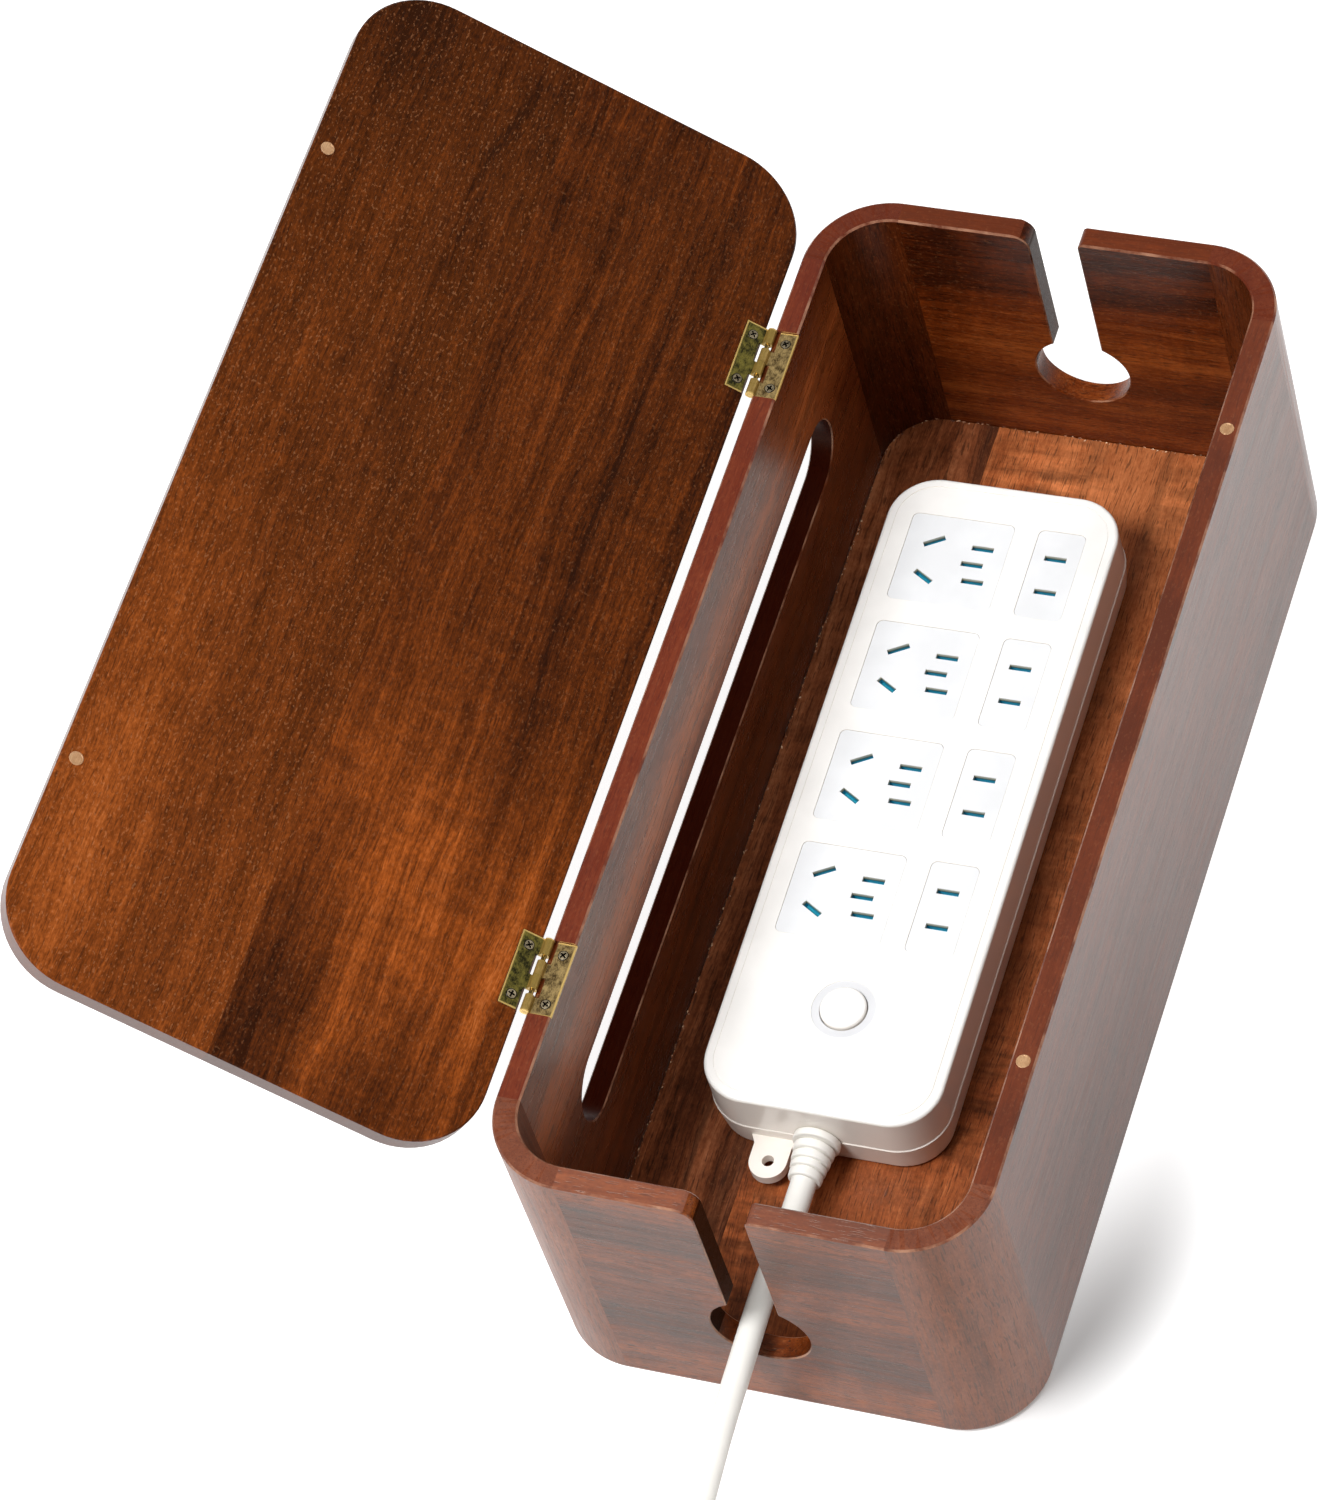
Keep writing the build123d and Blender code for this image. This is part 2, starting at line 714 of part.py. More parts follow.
def build_cord():
    nodes["strain_relief"] = strip_place * strain_relief()
    nodes["cord_lead"] = cord_tube(cord_route)
    nodes["cord_tail"] = cord_tube(tail_route)
    tie = cord_tie()
    nodes["cord_coil"] = cord_coil() - tie
    nodes["cord_tie"] = tie
    nodes["mains_plug"] = mains_plug()
    nodes["plug_pins"] = Compound(plug_pins())


build_box()
build_floor()
build_lid()
build_hinges()
build_strip_case()
build_switch()
build_cord()

for name, shape in nodes.items():
    shape.label = name
    export_step(shape, f"parts/{name}.step")
    print(name, len(shape.solids()), round(shape.volume, 1))
print(len(nodes), "nodes")
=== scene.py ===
import math
import bmesh
import bpy
from mathutils import Matrix, Vector


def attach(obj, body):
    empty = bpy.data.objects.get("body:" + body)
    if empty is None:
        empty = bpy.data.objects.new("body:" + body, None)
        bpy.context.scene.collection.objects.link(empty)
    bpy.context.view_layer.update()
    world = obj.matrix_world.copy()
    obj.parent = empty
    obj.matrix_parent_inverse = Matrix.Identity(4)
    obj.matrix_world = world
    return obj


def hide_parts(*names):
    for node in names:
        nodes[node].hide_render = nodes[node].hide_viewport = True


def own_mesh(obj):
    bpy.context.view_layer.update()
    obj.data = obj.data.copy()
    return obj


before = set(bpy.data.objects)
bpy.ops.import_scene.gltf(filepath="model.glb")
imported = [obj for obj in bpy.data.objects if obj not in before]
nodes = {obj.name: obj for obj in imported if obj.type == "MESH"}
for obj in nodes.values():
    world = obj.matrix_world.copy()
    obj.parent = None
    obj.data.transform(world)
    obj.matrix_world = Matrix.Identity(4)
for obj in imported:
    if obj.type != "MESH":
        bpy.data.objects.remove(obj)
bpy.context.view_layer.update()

mm = 0.001


def fromScreen(red, green, blue):
    # 0-255 screen colour to the linear colour that shaders take
    def linear(value):
        value /= 255
        return value / 12.92 if value <= 0.04045 else ((value + 0.055) / 1.055) ** 2.4
    return (linear(red), linear(green), linear(blue), 1)


def addNode(tree, kind, inputs=None, **settings):
    node = tree.nodes.new(kind)
    for key, value in settings.items():
        setattr(node, key, value)
    for key, value in (inputs or {}).items():
        if isinstance(value, bpy.types.NodeSocket):
            tree.links.new(value, node.inputs[key])
        else:
            node.inputs[key].default_value = value
    return node


def valueOf(tree, kind, inputs=None, **settings):
    # the output that a new node gives with these settings
    node = addNode(tree, kind, inputs, **settings)
    return next(out for out in node.outputs if out.enabled)


def calc(tree, operation, first, second=0.5):
    return valueOf(tree, "ShaderNodeMath", {0: first, 1: second}, operation=operation)


def times(tree, first, second):
    return calc(tree, "MULTIPLY", first, second)


def vectorCalc(tree, operation, first, second=(0, 0, 0), third=(0, 0, 0)):
    inputs = {0: first, 1: second, 2: third}
    return valueOf(tree, "ShaderNodeVectorMath", inputs, operation=operation)


def coordinate(tree, vector, axis):
    return addNode(tree, "ShaderNodeSeparateXYZ", {0: vector}).outputs[axis]


def surface(tree, kind="Object"):
    return addNode(tree, "ShaderNodeTexCoord").outputs[kind]


def inPlace(tree, vector, place, turn=(0, 0, 0), size=(1, 1, 1)):
    # coordinates as seen from a place of their own
    inputs = {"Vector": vector, "Location": place, "Rotation": turn, "Scale": size}
    return valueOf(tree, "ShaderNodeMapping", inputs, vector_type="TEXTURE")


def mapRange(tree, value, source, target, **settings):
    low, high = source
    first, last = target
    inputs = {"Value": value, "From Min": low, "From Max": high, "To Min": first, "To Max": last}
    return valueOf(tree, "ShaderNodeMapRange", inputs, **settings)


def colourRamp(tree, factor, stops, smooth=False):
    ramp = addNode(tree, "ShaderNodeValToRGB", {"Fac": factor})
    ramp.color_ramp.interpolation = "EASE" if smooth else "LINEAR"
    band = ramp.color_ramp.elements
    while len(band) < len(stops):
        band.new(0.5)
    for element, (place, colour) in zip(band, stops):
        element.position = place
        element.color = colour if hasattr(colour, "__len__") else (colour, colour, colour, 1)
    return ramp.outputs["Color"]


def screenStops(rows):
    return [(place, fromScreen(*screen)) for place, *screen in rows]


def gate(tree, value, levels, top=1):
    # rises from 0 to its top between two levels
    return colourRamp(tree, value, [(levels[0], 0), (levels[1], top)])


def mixColour(tree, factor, first, second, how="MIX"):
    node = addNode(tree, "ShaderNodeMix", data_type="RGBA", blend_type=how)
    sockets = [s for s in node.inputs if s.enabled]
    for socket, value in zip(sockets, (factor, first, second)):
        if isinstance(value, bpy.types.NodeSocket):
            tree.links.new(value, socket)
        else:
            socket.default_value = value
    return next(s for s in node.outputs if s.enabled)


def stretchedNoise(tree, vector, along, across, detail=3, rough=0.55, seed=0):
    # noise with its own count per metre along and across the grain
    shift = (seed * 3.71, seed * 1.93, seed * 5.17)
    scaled = vectorCalc(tree, "MULTIPLY_ADD", vector, (along, across, across), shift)
    inputs = {"Vector": scaled, "Scale": 1, "Detail": detail, "Roughness": rough}
    return valueOf(tree, "ShaderNodeTexNoise", inputs)


def nodeOf(tree, kind):
    return next(node for node in tree.nodes if node.type == kind)


def newMaterial(name, **plain):
    material = bpy.data.materials.new(name)
    material.use_nodes = True
    tree = material.node_tree
    shader = nodeOf(tree, "BSDF_PRINCIPLED")
    for key, value in plain.items():
        shader.inputs[key.replace("_", " ")].default_value = value
    return material, tree, shader


def finishShader(tree, shader, colour, rough, height, strength, depth):
    inputs = {"Height": height, "Strength": strength, "Distance": depth}
    bump = valueOf(tree, "ShaderNodeBump", inputs)
    for name, value in {"Base Color": colour, "Roughness": rough, "Normal": bump}.items():
        tree.links.new(value, shader.inputs[name])


def newObject(name, data):
    made = bpy.data.objects.new(name, data)
    bpy.context.scene.collection.objects.link(made)
    return made


def meshFrom(name, work):
    data = bpy.data.meshes.new(name)
    work.to_mesh(data)
    work.free()
    return data


def baked(thing):
    layer = bpy.context.evaluated_depsgraph_get()
    return bpy.data.meshes.new_from_object(thing.evaluated_get(layer))


def setMaterial(piece, material):
    piece.data.materials.clear()
    piece.data.materials.append(material)


cameraLook = {
    "place": (-0.980682, -0.578942, 1.745427),
    "turn": (33.4874, 11.1956, -72.2385),
    "lens": 160.18,
    "sensor": 36,
    "nearest": 0.05,
}


def makeCamera(look):
    data = bpy.data.cameras.new("boxCamera")
    data.lens = look["lens"]
    data.sensor_width = look["sensor"]
    data.clip_start = look["nearest"]
    camera = newObject("boxCamera", data)
    camera.location = look["place"]
    camera.rotation_euler = [math.radians(angle) for angle in look["turn"]]
    bpy.context.scene.camera = camera


makeCamera(cameraLook)
print("camera set")

cordLook = {
    "diameter": 8 * mm,
    "length": 1.79,
    "route": [
        (-116.3, 10.55, 18.0), (-124.0, 10.5, 18.0), (-135.0, 10.0, 19.8), (-146.5, 8.8, 24.8),
        (-158.0, 7.3, 30.6), (-169.0, 6.1, 34.0), (-182.0, 5.3, 35.4), (-195.5, 5.6, 33.6),
        (-208.5, 6.5, 29.6), (-221.5, 7.5, 23.8), (-234.5, 8.6, 17.4), (-247.5, 9.7, 11.2),
        (-260.5, 10.4, 6.4), (-274.5, 10.6, 4.0), (-292.0, 9.4, 4.0), (-312.0, 8.0, 4.0),
        (-332.0, 8.0, 4.0),
    ],
    "tail": [
        (-332.0, -88.0, 20.0), (-324.5, -88.0, 20.0), (-313.5, -88.0, 18.5),
        (-302.5, -88.0, 15.5), (-291.5, -88.0, 14.0), (-284.0, -88.0, 14.0),
    ],
    "coilCentre": (-360, -40),
    "lanes": [(48, 4), (40, 4), (40, 12), (48, 12), (40, 20), (48, 20)],  # radius, height
    "turns": 5.5,
    "pointsPerTurn": 24,
    "laneChange": 0.16,
}


def coilPoints(look):
    # turns wound from the outside of the lowest layer to the outside of the top one
    count = look["pointsPerTurn"]
    points = []
    for step in range(1, int(look["turns"] * count)):
        turn = step / count
        lane = int(turn)
        radius, height = look["lanes"][lane]
        left = 1 - (turn - lane)
        if left < look["laneChange"] and lane + 1 < len(look["lanes"]):
            share = 1 - left / look["laneChange"]
            share = share * share * (3 - 2 * share)
            nextRadius, nextHeight = look["lanes"][lane + 1]
            radius += share * (nextRadius - radius)
            height += share * (nextHeight - height)
        radius /= math.cos(math.pi / count)
        angle = math.pi / 2 + turn * 2 * math.pi
        x = look["coilCentre"][0] + radius * math.cos(angle)
        y = look["coilCentre"][1] + radius * math.sin(angle)
        points.append((x, y, height))
    return points


def makeCord(look):
    curve = bpy.data.curves.new("mainsCord", "CURVE")
    curve.dimensions = "3D"
    curve.bevel_depth = 1
    curve.bevel_resolution = 6
    curve.resolution_u = 6
    curve.use_fill_caps = True
    points = look["route"] + coilPoints(look) + look["tail"]
    spline = curve.splines.new("NURBS")
    spline.points.add(len(points) - 1)
    for point, place in zip(spline.points, points):
        point.co = (*[value * mm for value in place], 1)
        point.radius = look["diameter"] / 2
    spline.order_u = 3
    spline.use_endpoint_u = True
    return newObject("mainsCord", curve)


cord = makeCord(cordLook)
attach(cord, "box")
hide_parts("cord_lead", "cord_coil", "cord_tail")
print("cord laid")

# noise of the wood: counts per metre along and across the grain, detail, roughness, seed step
woodNoise = {
    "warp": (5, 9, 2, 0.5, 0),
    "wobble": (30, 60, 2, 0.5, 10),
    "zones": (2.2, 22, 2, 0.5, 1),
    "streaks": (3.5, 130, 4, 0.62, 2),
    "lines": (26, 760, 3, 0.6, 3),
    "fibre": (140, 2600, 2, 0.6, 4),
    "mottle": (75, 95, 5, 0.68, 11),
    "grit": (620, 1100, 2, 0.6, 12),
    "growth": (2.4, 120, 3, 0.6, 9),
    "ripple": (170, 40, 3, 0.65, 5),
    "patch": (9, 22, 2, 0.5, 6),
    "pores": (190, 2300, 0, 0.5, 7),
    "flecks": (800, 1300, 1, 0.5, 13),
    "rag": (900, 900, 3, 0.7, 8),
}
lidTilt = math.radians(33.85)
alongBox = ((1, 0, 0), (0, 0, 1), (0, -1, 0))  # grain, across, depth
alongEnd = ((0, 1, 0), (0, 0, 1), (1, 0, 0))
alongPost = ((0, 0, 1), (1, 0, 0), (0, 1, 0))
alongFloor = ((1, 0, 0), (0, 1, 0), (0, 0, 1))
alongLid = (
    (1, 0, 0),
    (0, math.cos(lidTilt), math.sin(lidTilt)),
    (0, -math.sin(lidTilt), math.cos(lidTilt)),
)
pin = (0, 77.4 * mm, 111.85 * mm)


def blendTones(tree, layers):
    # each layer swings the tone about a half by its own share
    total = 0.5 - sum(share for layer, share in layers) / 2
    for layer, share in layers:
        inputs = {0: layer, 1: share, 2: total}
        total = valueOf(tree, "ShaderNodeMath", inputs, operation="MULTIPLY_ADD")
    return total


def boardCoordinates(tree, look):
    # x along the grain, y across the board, z into it
    axes = Matrix(look["axes"])
    origin = Vector(look.get("origin", (0, 0, 0)))
    inputs = {"Vector": surface(tree), "Rotation": axes.to_euler(), "Location": -(axes @ origin)}
    return valueOf(tree, "ShaderNodeMapping", inputs)


def wallDistance(tree, look):
    # how far a point of the floor is from the walls round it, which have round corners
    half = [side - look["corner"] for side in look["half"]]
    away = vectorCalc(tree, "ABSOLUTE", surface(tree))
    away = vectorCalc(tree, "SUBTRACT", away, (*half, 1))
    away = vectorCalc(tree, "MAXIMUM", away, (0, 0, 0))
    return calc(tree, "SUBTRACT", look["corner"], vectorCalc(tree, "LENGTH", away))


def boardMarks(tree, local, marks):
    # light and dark places of a board; a long thin one is a vein
    total = 0.0
    for x, y, halfLength, halfWidth, turn, swing in marks:
        mark = inPlace(
            tree,
            local,
            (x * mm, y * mm, 0),
            (0, 0, math.radians(turn)),
            (halfLength * mm, halfWidth * mm, 1),
        )
        away = vectorCalc(tree, "LENGTH", mark)
        fade = mapRange(tree, away, (0, 1), (swing, 0), interpolation_type="SMOOTHSTEP")
        total = calc(tree, "ADD", fade, total)
    return total


def heightBand(tree, place, axis, low, high):
    # 1 between two levels of one coordinate, 0 outside them
    level = coordinate(tree, place, axis)
    above = calc(tree, "GREATER_THAN", level, low)
    return times(tree, above, calc(tree, "LESS_THAN", level, high))


def easedEdges(tree, look):
    # 1 on the narrow bevels, which lean half way from one direction
    lean = coordinate(tree, surface(tree, "Normal"), look["eased"])
    inputs = {0: calc(tree, "ABSOLUTE", lean), 1: look["bevelLean"], 2: look["bevelSpread"]}
    return valueOf(tree, "ShaderNodeMath", inputs, operation="COMPARE")


def cutFaces(tree, look):
    # 1 on the faces of an opening, which run through the wall's thickness
    cut = look["cut"]
    lean = calc(tree, "ABSOLUTE", coordinate(tree, surface(tree, "Normal"), cut["axis"]))
    across = calc(tree, "LESS_THAN", lean, look["cutLean"])
    band = heightBand(tree, surface(tree), "Z", cut["low"] * mm, cut["high"] * mm)
    return times(tree, across, band)


def innerFaces(tree):
    # 1 where a surface faces the middle of the box
    level = vectorCalc(tree, "MULTIPLY", surface(tree), (1, 1, 0))
    towards = vectorCalc(tree, "DOT_PRODUCT", level, surface(tree, "Normal"))
    return calc(tree, "LESS_THAN", towards, 0.0)


def woodMaterial(name, look):
    material, tree, shader = newMaterial(
        name, Specular_IOR_Level=look["specular"], Specular_Tint=look["tint"]
    )
    flat = boardCoordinates(tree, look)
    counts = {**woodNoise, **look.get("noise", {})}

    def noise(kind, where):
        along, across, detail, rough, step = counts[kind]
        return stretchedNoise(tree, where, along, across, detail, rough, look["seed"] + step)

    def lay(colour, mask, share, over, how="MIX"):
        return mixColour(tree, times(tree, mask, share), colour, over, how)

    def dimShine(mask):
        shine = times(tree, calc(tree, "SUBTRACT", 1.0, mask), look["specular"])
        tree.links.new(shine, shader.inputs["Specular IOR Level"])

    # the grain wanders a little from side to side
    slide = times(tree, calc(tree, "SUBTRACT", noise("warp", flat), 0.5), look["wander"])
    wobble = times(tree, calc(tree, "SUBTRACT", noise("wobble", flat), 0.5), look["wobble"])
    shift = valueOf(tree, "ShaderNodeCombineXYZ", {"Y": calc(tree, "ADD", slide, wobble)})
    local = vectorCalc(tree, "ADD", flat, shift)
    grain = {kind: noise(kind, local) for kind in ("zones", "streaks", "lines", "fibre")}
    grain.update({kind: noise(kind, flat) for kind in ("mottle", "grit")})
    layers = [(layer, look[kind]) for kind, layer in grain.items()]
    # a tone that changes along the board; on the lid boards it is partly the wood's own tone and
    # partly painted shade, darker towards the far end
    if "alongProfile" in look:
        along = mapRange(tree, coordinate(tree, flat, "X"), look["ends"], (0, 1))
        layers.append((colourRamp(tree, along, look["alongProfile"], smooth=True), 1.0))
    tone = blendTones(tree, layers)
    tone = calc(tree, "ADD", tone, boardMarks(tree, local, look["marks"]))
    colour = colourRamp(tree, tone, screenStops(look["colours"]))
    # thin dark growth lines
    growth = gate(tree, noise("growth", local), look["growthGate"])
    colour = lay(colour, growth, look["growth"], look["growthColour"])
    # shimmer across the grain, in patches
    ripple = colourRamp(tree, noise("ripple", local), look["rippleTones"])
    patch = gate(tree, noise("patch", local), look["patchGate"])
    colour = lay(colour, patch, look["ripple"], ripple, "MULTIPLY")
    # open pores and pale flecks
    pores = gate(tree, noise("pores", local), look["poreGate"])
    colour = lay(colour, pores, look["pores"], darkPore)
    flecks = gate(tree, noise("flecks", flat), look["fleckGate"])
    colour = lay(colour, flecks, look["flecks"], paleFleck)
    # the top of the walls takes a colour of its own; on the near end it is partly a painted
    # highlight
    if "rim" in look:
        rim = heightBand(tree, surface(tree), "Z", *look["rimLevels"])
        colour = lay(colour, rim, look["rimShare"], look["rim"])
    if "cut" in look:
        # painted shade: the faces of an opening are coloured dark and lose their shine
        cut = times(tree, cutFaces(tree, look), look["cutShare"])
        colour = mixColour(tree, cut, colour, look["cut"]["colour"])
        dimShine(cut)
    if "insideDull" in look:
        dimShine(times(tree, innerFaces(tree), look["insideDull"]))
    if "eased" in look:
        # painted highlight: the narrow bevels are coloured pale in patches
        bevelHighlight = gate(tree, grain["mottle"], look["bevelHighlightGate"], look["bevelHighlightShare"])
        bevelHighlight = times(tree, easedEdges(tree, look), bevelHighlight)
        colour = mixColour(tree, bevelHighlight, colour, bevelHighlightColour)
    if "edge" in look:
        # painted sheen: the board's narrow edges are coloured grey and lighter than its faces
        edge = heightBand(tree, flat, "Z", *look["edgeLevels"])
        colour = lay(colour, edge, look["edgeShare"], look["edge"])
    height = blendTones(tree, [(grain["fibre"], look["fibreHeight"]), (pores, -1.0)])
    if "half" in look:
        # a ragged dark gap and bruised fibres where the board meets the walls
        rag = blendTones(tree, [(noise("rag", flat), look["ragged"])])
        gap = calc(tree, "ADD", calc(tree, "SUBTRACT", wallDistance(tree, look), rag), 0.5)
        gap = colourRamp(tree, times(tree, gap, 1 / mm), look["gapTones"])
        colour = lay(colour, gap, look["gapShare"], darkPore)
        height = calc(tree, "SUBTRACT", height, gap)
    rough = mapRange(tree, grain["lines"], look["roughGate"], look["roughness"])
    finishShader(tree, shader, colour, rough, height, look["bump"], look["bumpDepth"])
    return material


darkPore = fromScreen(30, 11, 4)
paleFleck = fromScreen(190, 128, 84)
# pale colour of the painted highlight on the bevels
bevelHighlightColour = fromScreen(186, 140, 112)
plainWood = {
    "wander": 0.012,
    "wobble": 0.004,
    "zones": 0.5,
    "streaks": 0.35,
    "lines": 0.25,
    "fibre": 0.3,
    "mottle": 0.35,
    "grit": 0.3,
    "marks": [(0, 0, 1, 1, 0, 0)],
    "growth": 0.3,
    "growthColour": fromScreen(36, 14, 4),
    "ripple": 0.3,
    "pores": 0.55,
    "flecks": 0.1,
    "roughness": (0.24, 0.36),
    "specular": 0.5,
    "tint": (1, 0.87, 0.76, 1),
    "bump": 0.22,
    "bumpDepth": 0.1 * mm,
    "rimLevels": (111.2 * mm, 113 * mm),
    "rimShare": 0.45,
    "cutShare": 0.85,
    "bevelHighlightShare": 0.6,
    "ends": (-0.18, 0.18),
    "growthGate": (0.55, 0.68),
    "patchGate": (0.4, 0.6),
    "poreGate": (0.64, 0.7),
    "fleckGate": (0.62, 0.7),
    "bevelHighlightGate": (0.4, 0.62),
    "roughGate": (0.3, 0.7),
    "rippleTones": [(0.38, 0.5), (0.5, 1), (0.62, 1.5)],
    "gapTones": [(0.0, 1), (0.35, 0)],
    "fibreHeight": 0.6,
    "bevelLean": 0.707,
    "bevelSpread": 0.09,
    "cutLean": 0.4,
}
floorWood = {
    "axes": alongFloor,
    "specular": 0.35,
    "roughness": (0.32, 0.46),
    "half": (172.5 * mm, 69 * mm),
    "corner": 18.5 * mm,
    "ragged": 2.6 * mm,
    "gapShare": 0.9,
}
lidWood = {
    "axes": alongLid,
    "origin": pin,
    "specular": 0.15,
    "roughness": (0.3, 0.42),
    "noise": {"streaks": (3.5, 190, 4, 0.62, 2)},
    "zones": 0.18,
    "streaks": 0.5,
    "lines": 0.42,
    "mottle": 0.14,
    "grit": 0.4,
    "growth": 0.15,
    "pores": 0.4,
    # grey colour of the painted sheen on the lid's edges
    "edge": fromScreen(126, 111, 108),
    "edgeLevels": (-7.3 * mm, -1.2 * mm),
    "edgeShare": 0.8,
}
sideColours = [(0.25, 44, 13, 2), (0.5, 88, 35, 9), (0.75, 124, 58, 22)]
woodLooks = {
    # colours: tone and the screen colour that it has
    # marks: x and y of the middle, half length, half width, turn, swing of the tone
    "lidBack": {
        **lidWood,
        "seed": 3,
        # partly the wood's tone, partly painted shade towards the far end
        "alongProfile": [(0.0, 0.52), (0.3, 0.5), (0.45, 0.42), (0.75, 0.39), (1.0, 0.36)],
        "colours": [
            (0.2, 42, 14, 1), (0.4, 80, 34, 3), (0.55, 110, 50, 8), (0.7, 143, 69, 18),
            (0.85, 172, 93, 40),
        ],
        "marks": [
            (-104, 38, 60, 40, -6, 0.12), (-176, 78, 104, 34, 0, -0.27),
            (-186, 38, 62, 24, -14, -0.17), (-110, 12, 66, 16, -6, 0.14),
            (-150, 16, 60, 4, -9, 0.08), (-150, 26, 60, 3, -9, 0.06),
            (55, 31, 135, 2.2, 0.4, -0.15), (60, 33, 160, 9, 0.4, -0.05),
            (-60, 27, 70, 3, -3, -0.05), (40, 56, 120, 2.5, -2, -0.06),
            (110, 60, 80, 10, 0, -0.05), (20, 14, 60, 6, 0, 0.04), (0, 83.2, 200, 0.8, 0, -0.08),
        ],
        "ripple": 0.34,
    },
    "lidFront": {
        **lidWood,
        "seed": 9,
        # partly the wood's tone, partly painted shade towards the far end
        "alongProfile": [(0.0, 0.5), (0.35, 0.48), (0.6, 0.41), (1.0, 0.33)],
        "colours": [
            (0.2, 44, 16, 1), (0.4, 80, 35, 3), (0.55, 110, 51, 9), (0.7, 144, 72, 22),
            (0.85, 172, 98, 46),
        ],
        "marks": [
            (-130, 142, 110, 40, 0, 0.15), (-20, 150, 110, 22, 2, 0.06),
            (-50, 92, 110, 14, 0, -0.06), (45, 103, 45, 11, 8, -0.07),
            (176, 140, 52, 28, 0, -0.12), (140, 100, 45, 2.5, -11, -0.12),
            (110, 101, 60, 2, -6, -0.07), (60, 118, 70, 8, -5, -0.03),
            (0, 82.6, 200, 0.8, 0, -0.08),
        ],
        "streaks": 0.24,
        "lines": 0.28,
        "mottle": 0.2,
        "ripple": 0.12,
        "flecks": 0.2,
    },
    "frontWall": {
        "axes": alongBox,
        "seed": 15,
        "colours": sideColours,
        "marks": [
            (40, 111, 20, 7, 0, -0.26), (0, 111, 17, 6, 0, -0.2), (-62, 112, 20, 5, 0, -0.12),
            (-134, 111, 18, 7, 0, -0.2), (100, 112, 14, 5, 0, -0.12),
        ],
        "rim": fromScreen(116, 58, 40),
        "eased": "Y",
        "roughness": (0.3, 0.38),
        "bump": 0.3,
        "ripple": 0.1,
    },
    "backWall": {
        "axes": alongBox,
        "seed": 18,
        "specular": 0.6,
        "tint": (1, 0.82, 0.64, 1),
        "colours": [*sideColours, (1.0, 180, 94, 44)],
        # the wide lighter band across the upper part is painted light
        "marks": [(0, 84, 600, 27, 0, 0.42), (-40, 30, 160, 3, 0, -0.1), (60, 22, 110, 4, 0, 0.08)],
        "rim": fromScreen(112, 44, 34),
        "eased": "Y",
        # the opening's faces take a dark colour: painted shade
        "cut": {"axis": "Y", "low": 45.3, "high": 71.4, "colour": fromScreen(46, 8, 3)},
        "ripple": 0.1,
    },
    "nearEnd": {
        "axes": alongEnd,
        "seed": 21,
        "specular": 0.42,
        "colours": [(0.25, 46, 15, 2), (0.5, 94, 39, 7), (0.75, 140, 70, 24)],
        "marks": [
            (50, 86, 60, 2, 2, -0.16), (52, 100, 40, 1.5, 0, -0.12), (46, 66, 34, 2, -2, -0.14),
            (-30, 60, 50, 2, 0, -0.1), (-34, 82, 40, 1.5, 1, -0.1), (40, 8, 22, 5, 0, -0.16),
        ],
        # partly the rim's own colour, partly a painted highlight
        "rim": fromScreen(136, 90, 76),
        "eased": "X",
        # the opening's faces take a dark colour: painted shade
        "cut": {"axis": "X", "low": 37, "high": 108, "colour": fromScreen(30, 17, 10)},
        "roughness": (0.26, 0.42),
        "bump": 0.4,
        "zones": 0.9,
        "streaks": 0.7,
        "pores": 0.7,
    },
    "farEnd": {
        "axes": alongEnd,
        "seed": 24,
        "specular": 0.16,
        "colours": [(0.25, 50, 15, 2), (0.5, 102, 41, 8), (0.75, 148, 74, 28)],
        # the wide darker zone towards the back is painted shade
        "marks": [(44, 80, 26, 90, 0, -0.12), (-40, 100, 40, 3, 2, 0.1)],
        "rim": fromScreen(122, 60, 38),
        "eased": "X",
        # the opening's faces take a dark colour: painted shade
        "cut": {"axis": "X", "low": 44, "high": 108, "colour": fromScreen(58, 42, 32)},
        "zones": 0.9,
        "streaks": 0.7,
        "ripple": 0.3,
    },
    "nearPosts": {
        "axes": alongPost,
        "seed": 27,
        "specular": 0.5,
        "roughness": (0.34, 0.46),
        "colours": [(0.25, 62, 28, 14), (0.5, 108, 56, 32), (0.75, 142, 82, 52)],
        "rim": fromScreen(108, 58, 44),
        "eased": "Z",
        "insideDull": 0.8,
        "ripple": 0.06,
    },
    "farPosts": {
        "axes": alongPost,
        "seed": 29,
        "specular": 0.35,
        # darker than the near posts: painted shade for posts that stand in shade inside the box
        "colours": [(0.25, 38, 12, 2), (0.5, 78, 31, 8), (0.75, 112, 52, 20)],
        "rim": fromScreen(112, 50, 36),
        "eased": "Z",
        "insideDull": 0.8,
        "ripple": 0.06,
    },
    "floorDark": {
        **floorWood,
        "seed": 33,
        "colours": [
            (0.28, 48, 19, 7), (0.48, 104, 52, 26), (0.62, 138, 76, 44), (0.8, 172, 106, 68),
        ],
        "streaks": 0.9,
        "growth": 0.6,
    },
    "floorOrange": {
        **floorWood,
        "seed": 41,
        "colours": [(0.25, 88, 38, 17), (0.5, 144, 75, 37), (0.78, 196, 118, 70)],
        "alongProfile": [(0.0, 0.4), (0.2, 0.44), (0.6, 0.5), (1.0, 0.6)],
        "ripple": 0.8,
    },
    "floorRed": {
        **floorWood,
        "seed": 47,
        "colours": [(0.25, 86, 37, 20), (0.5, 138, 70, 40), (0.78, 182, 108, 66)],
        "alongProfile": [(0.0, 0.42), (0.2, 0.46), (0.6, 0.52), (1.0, 0.58)],
        "ripple": 0.6,
    },
}
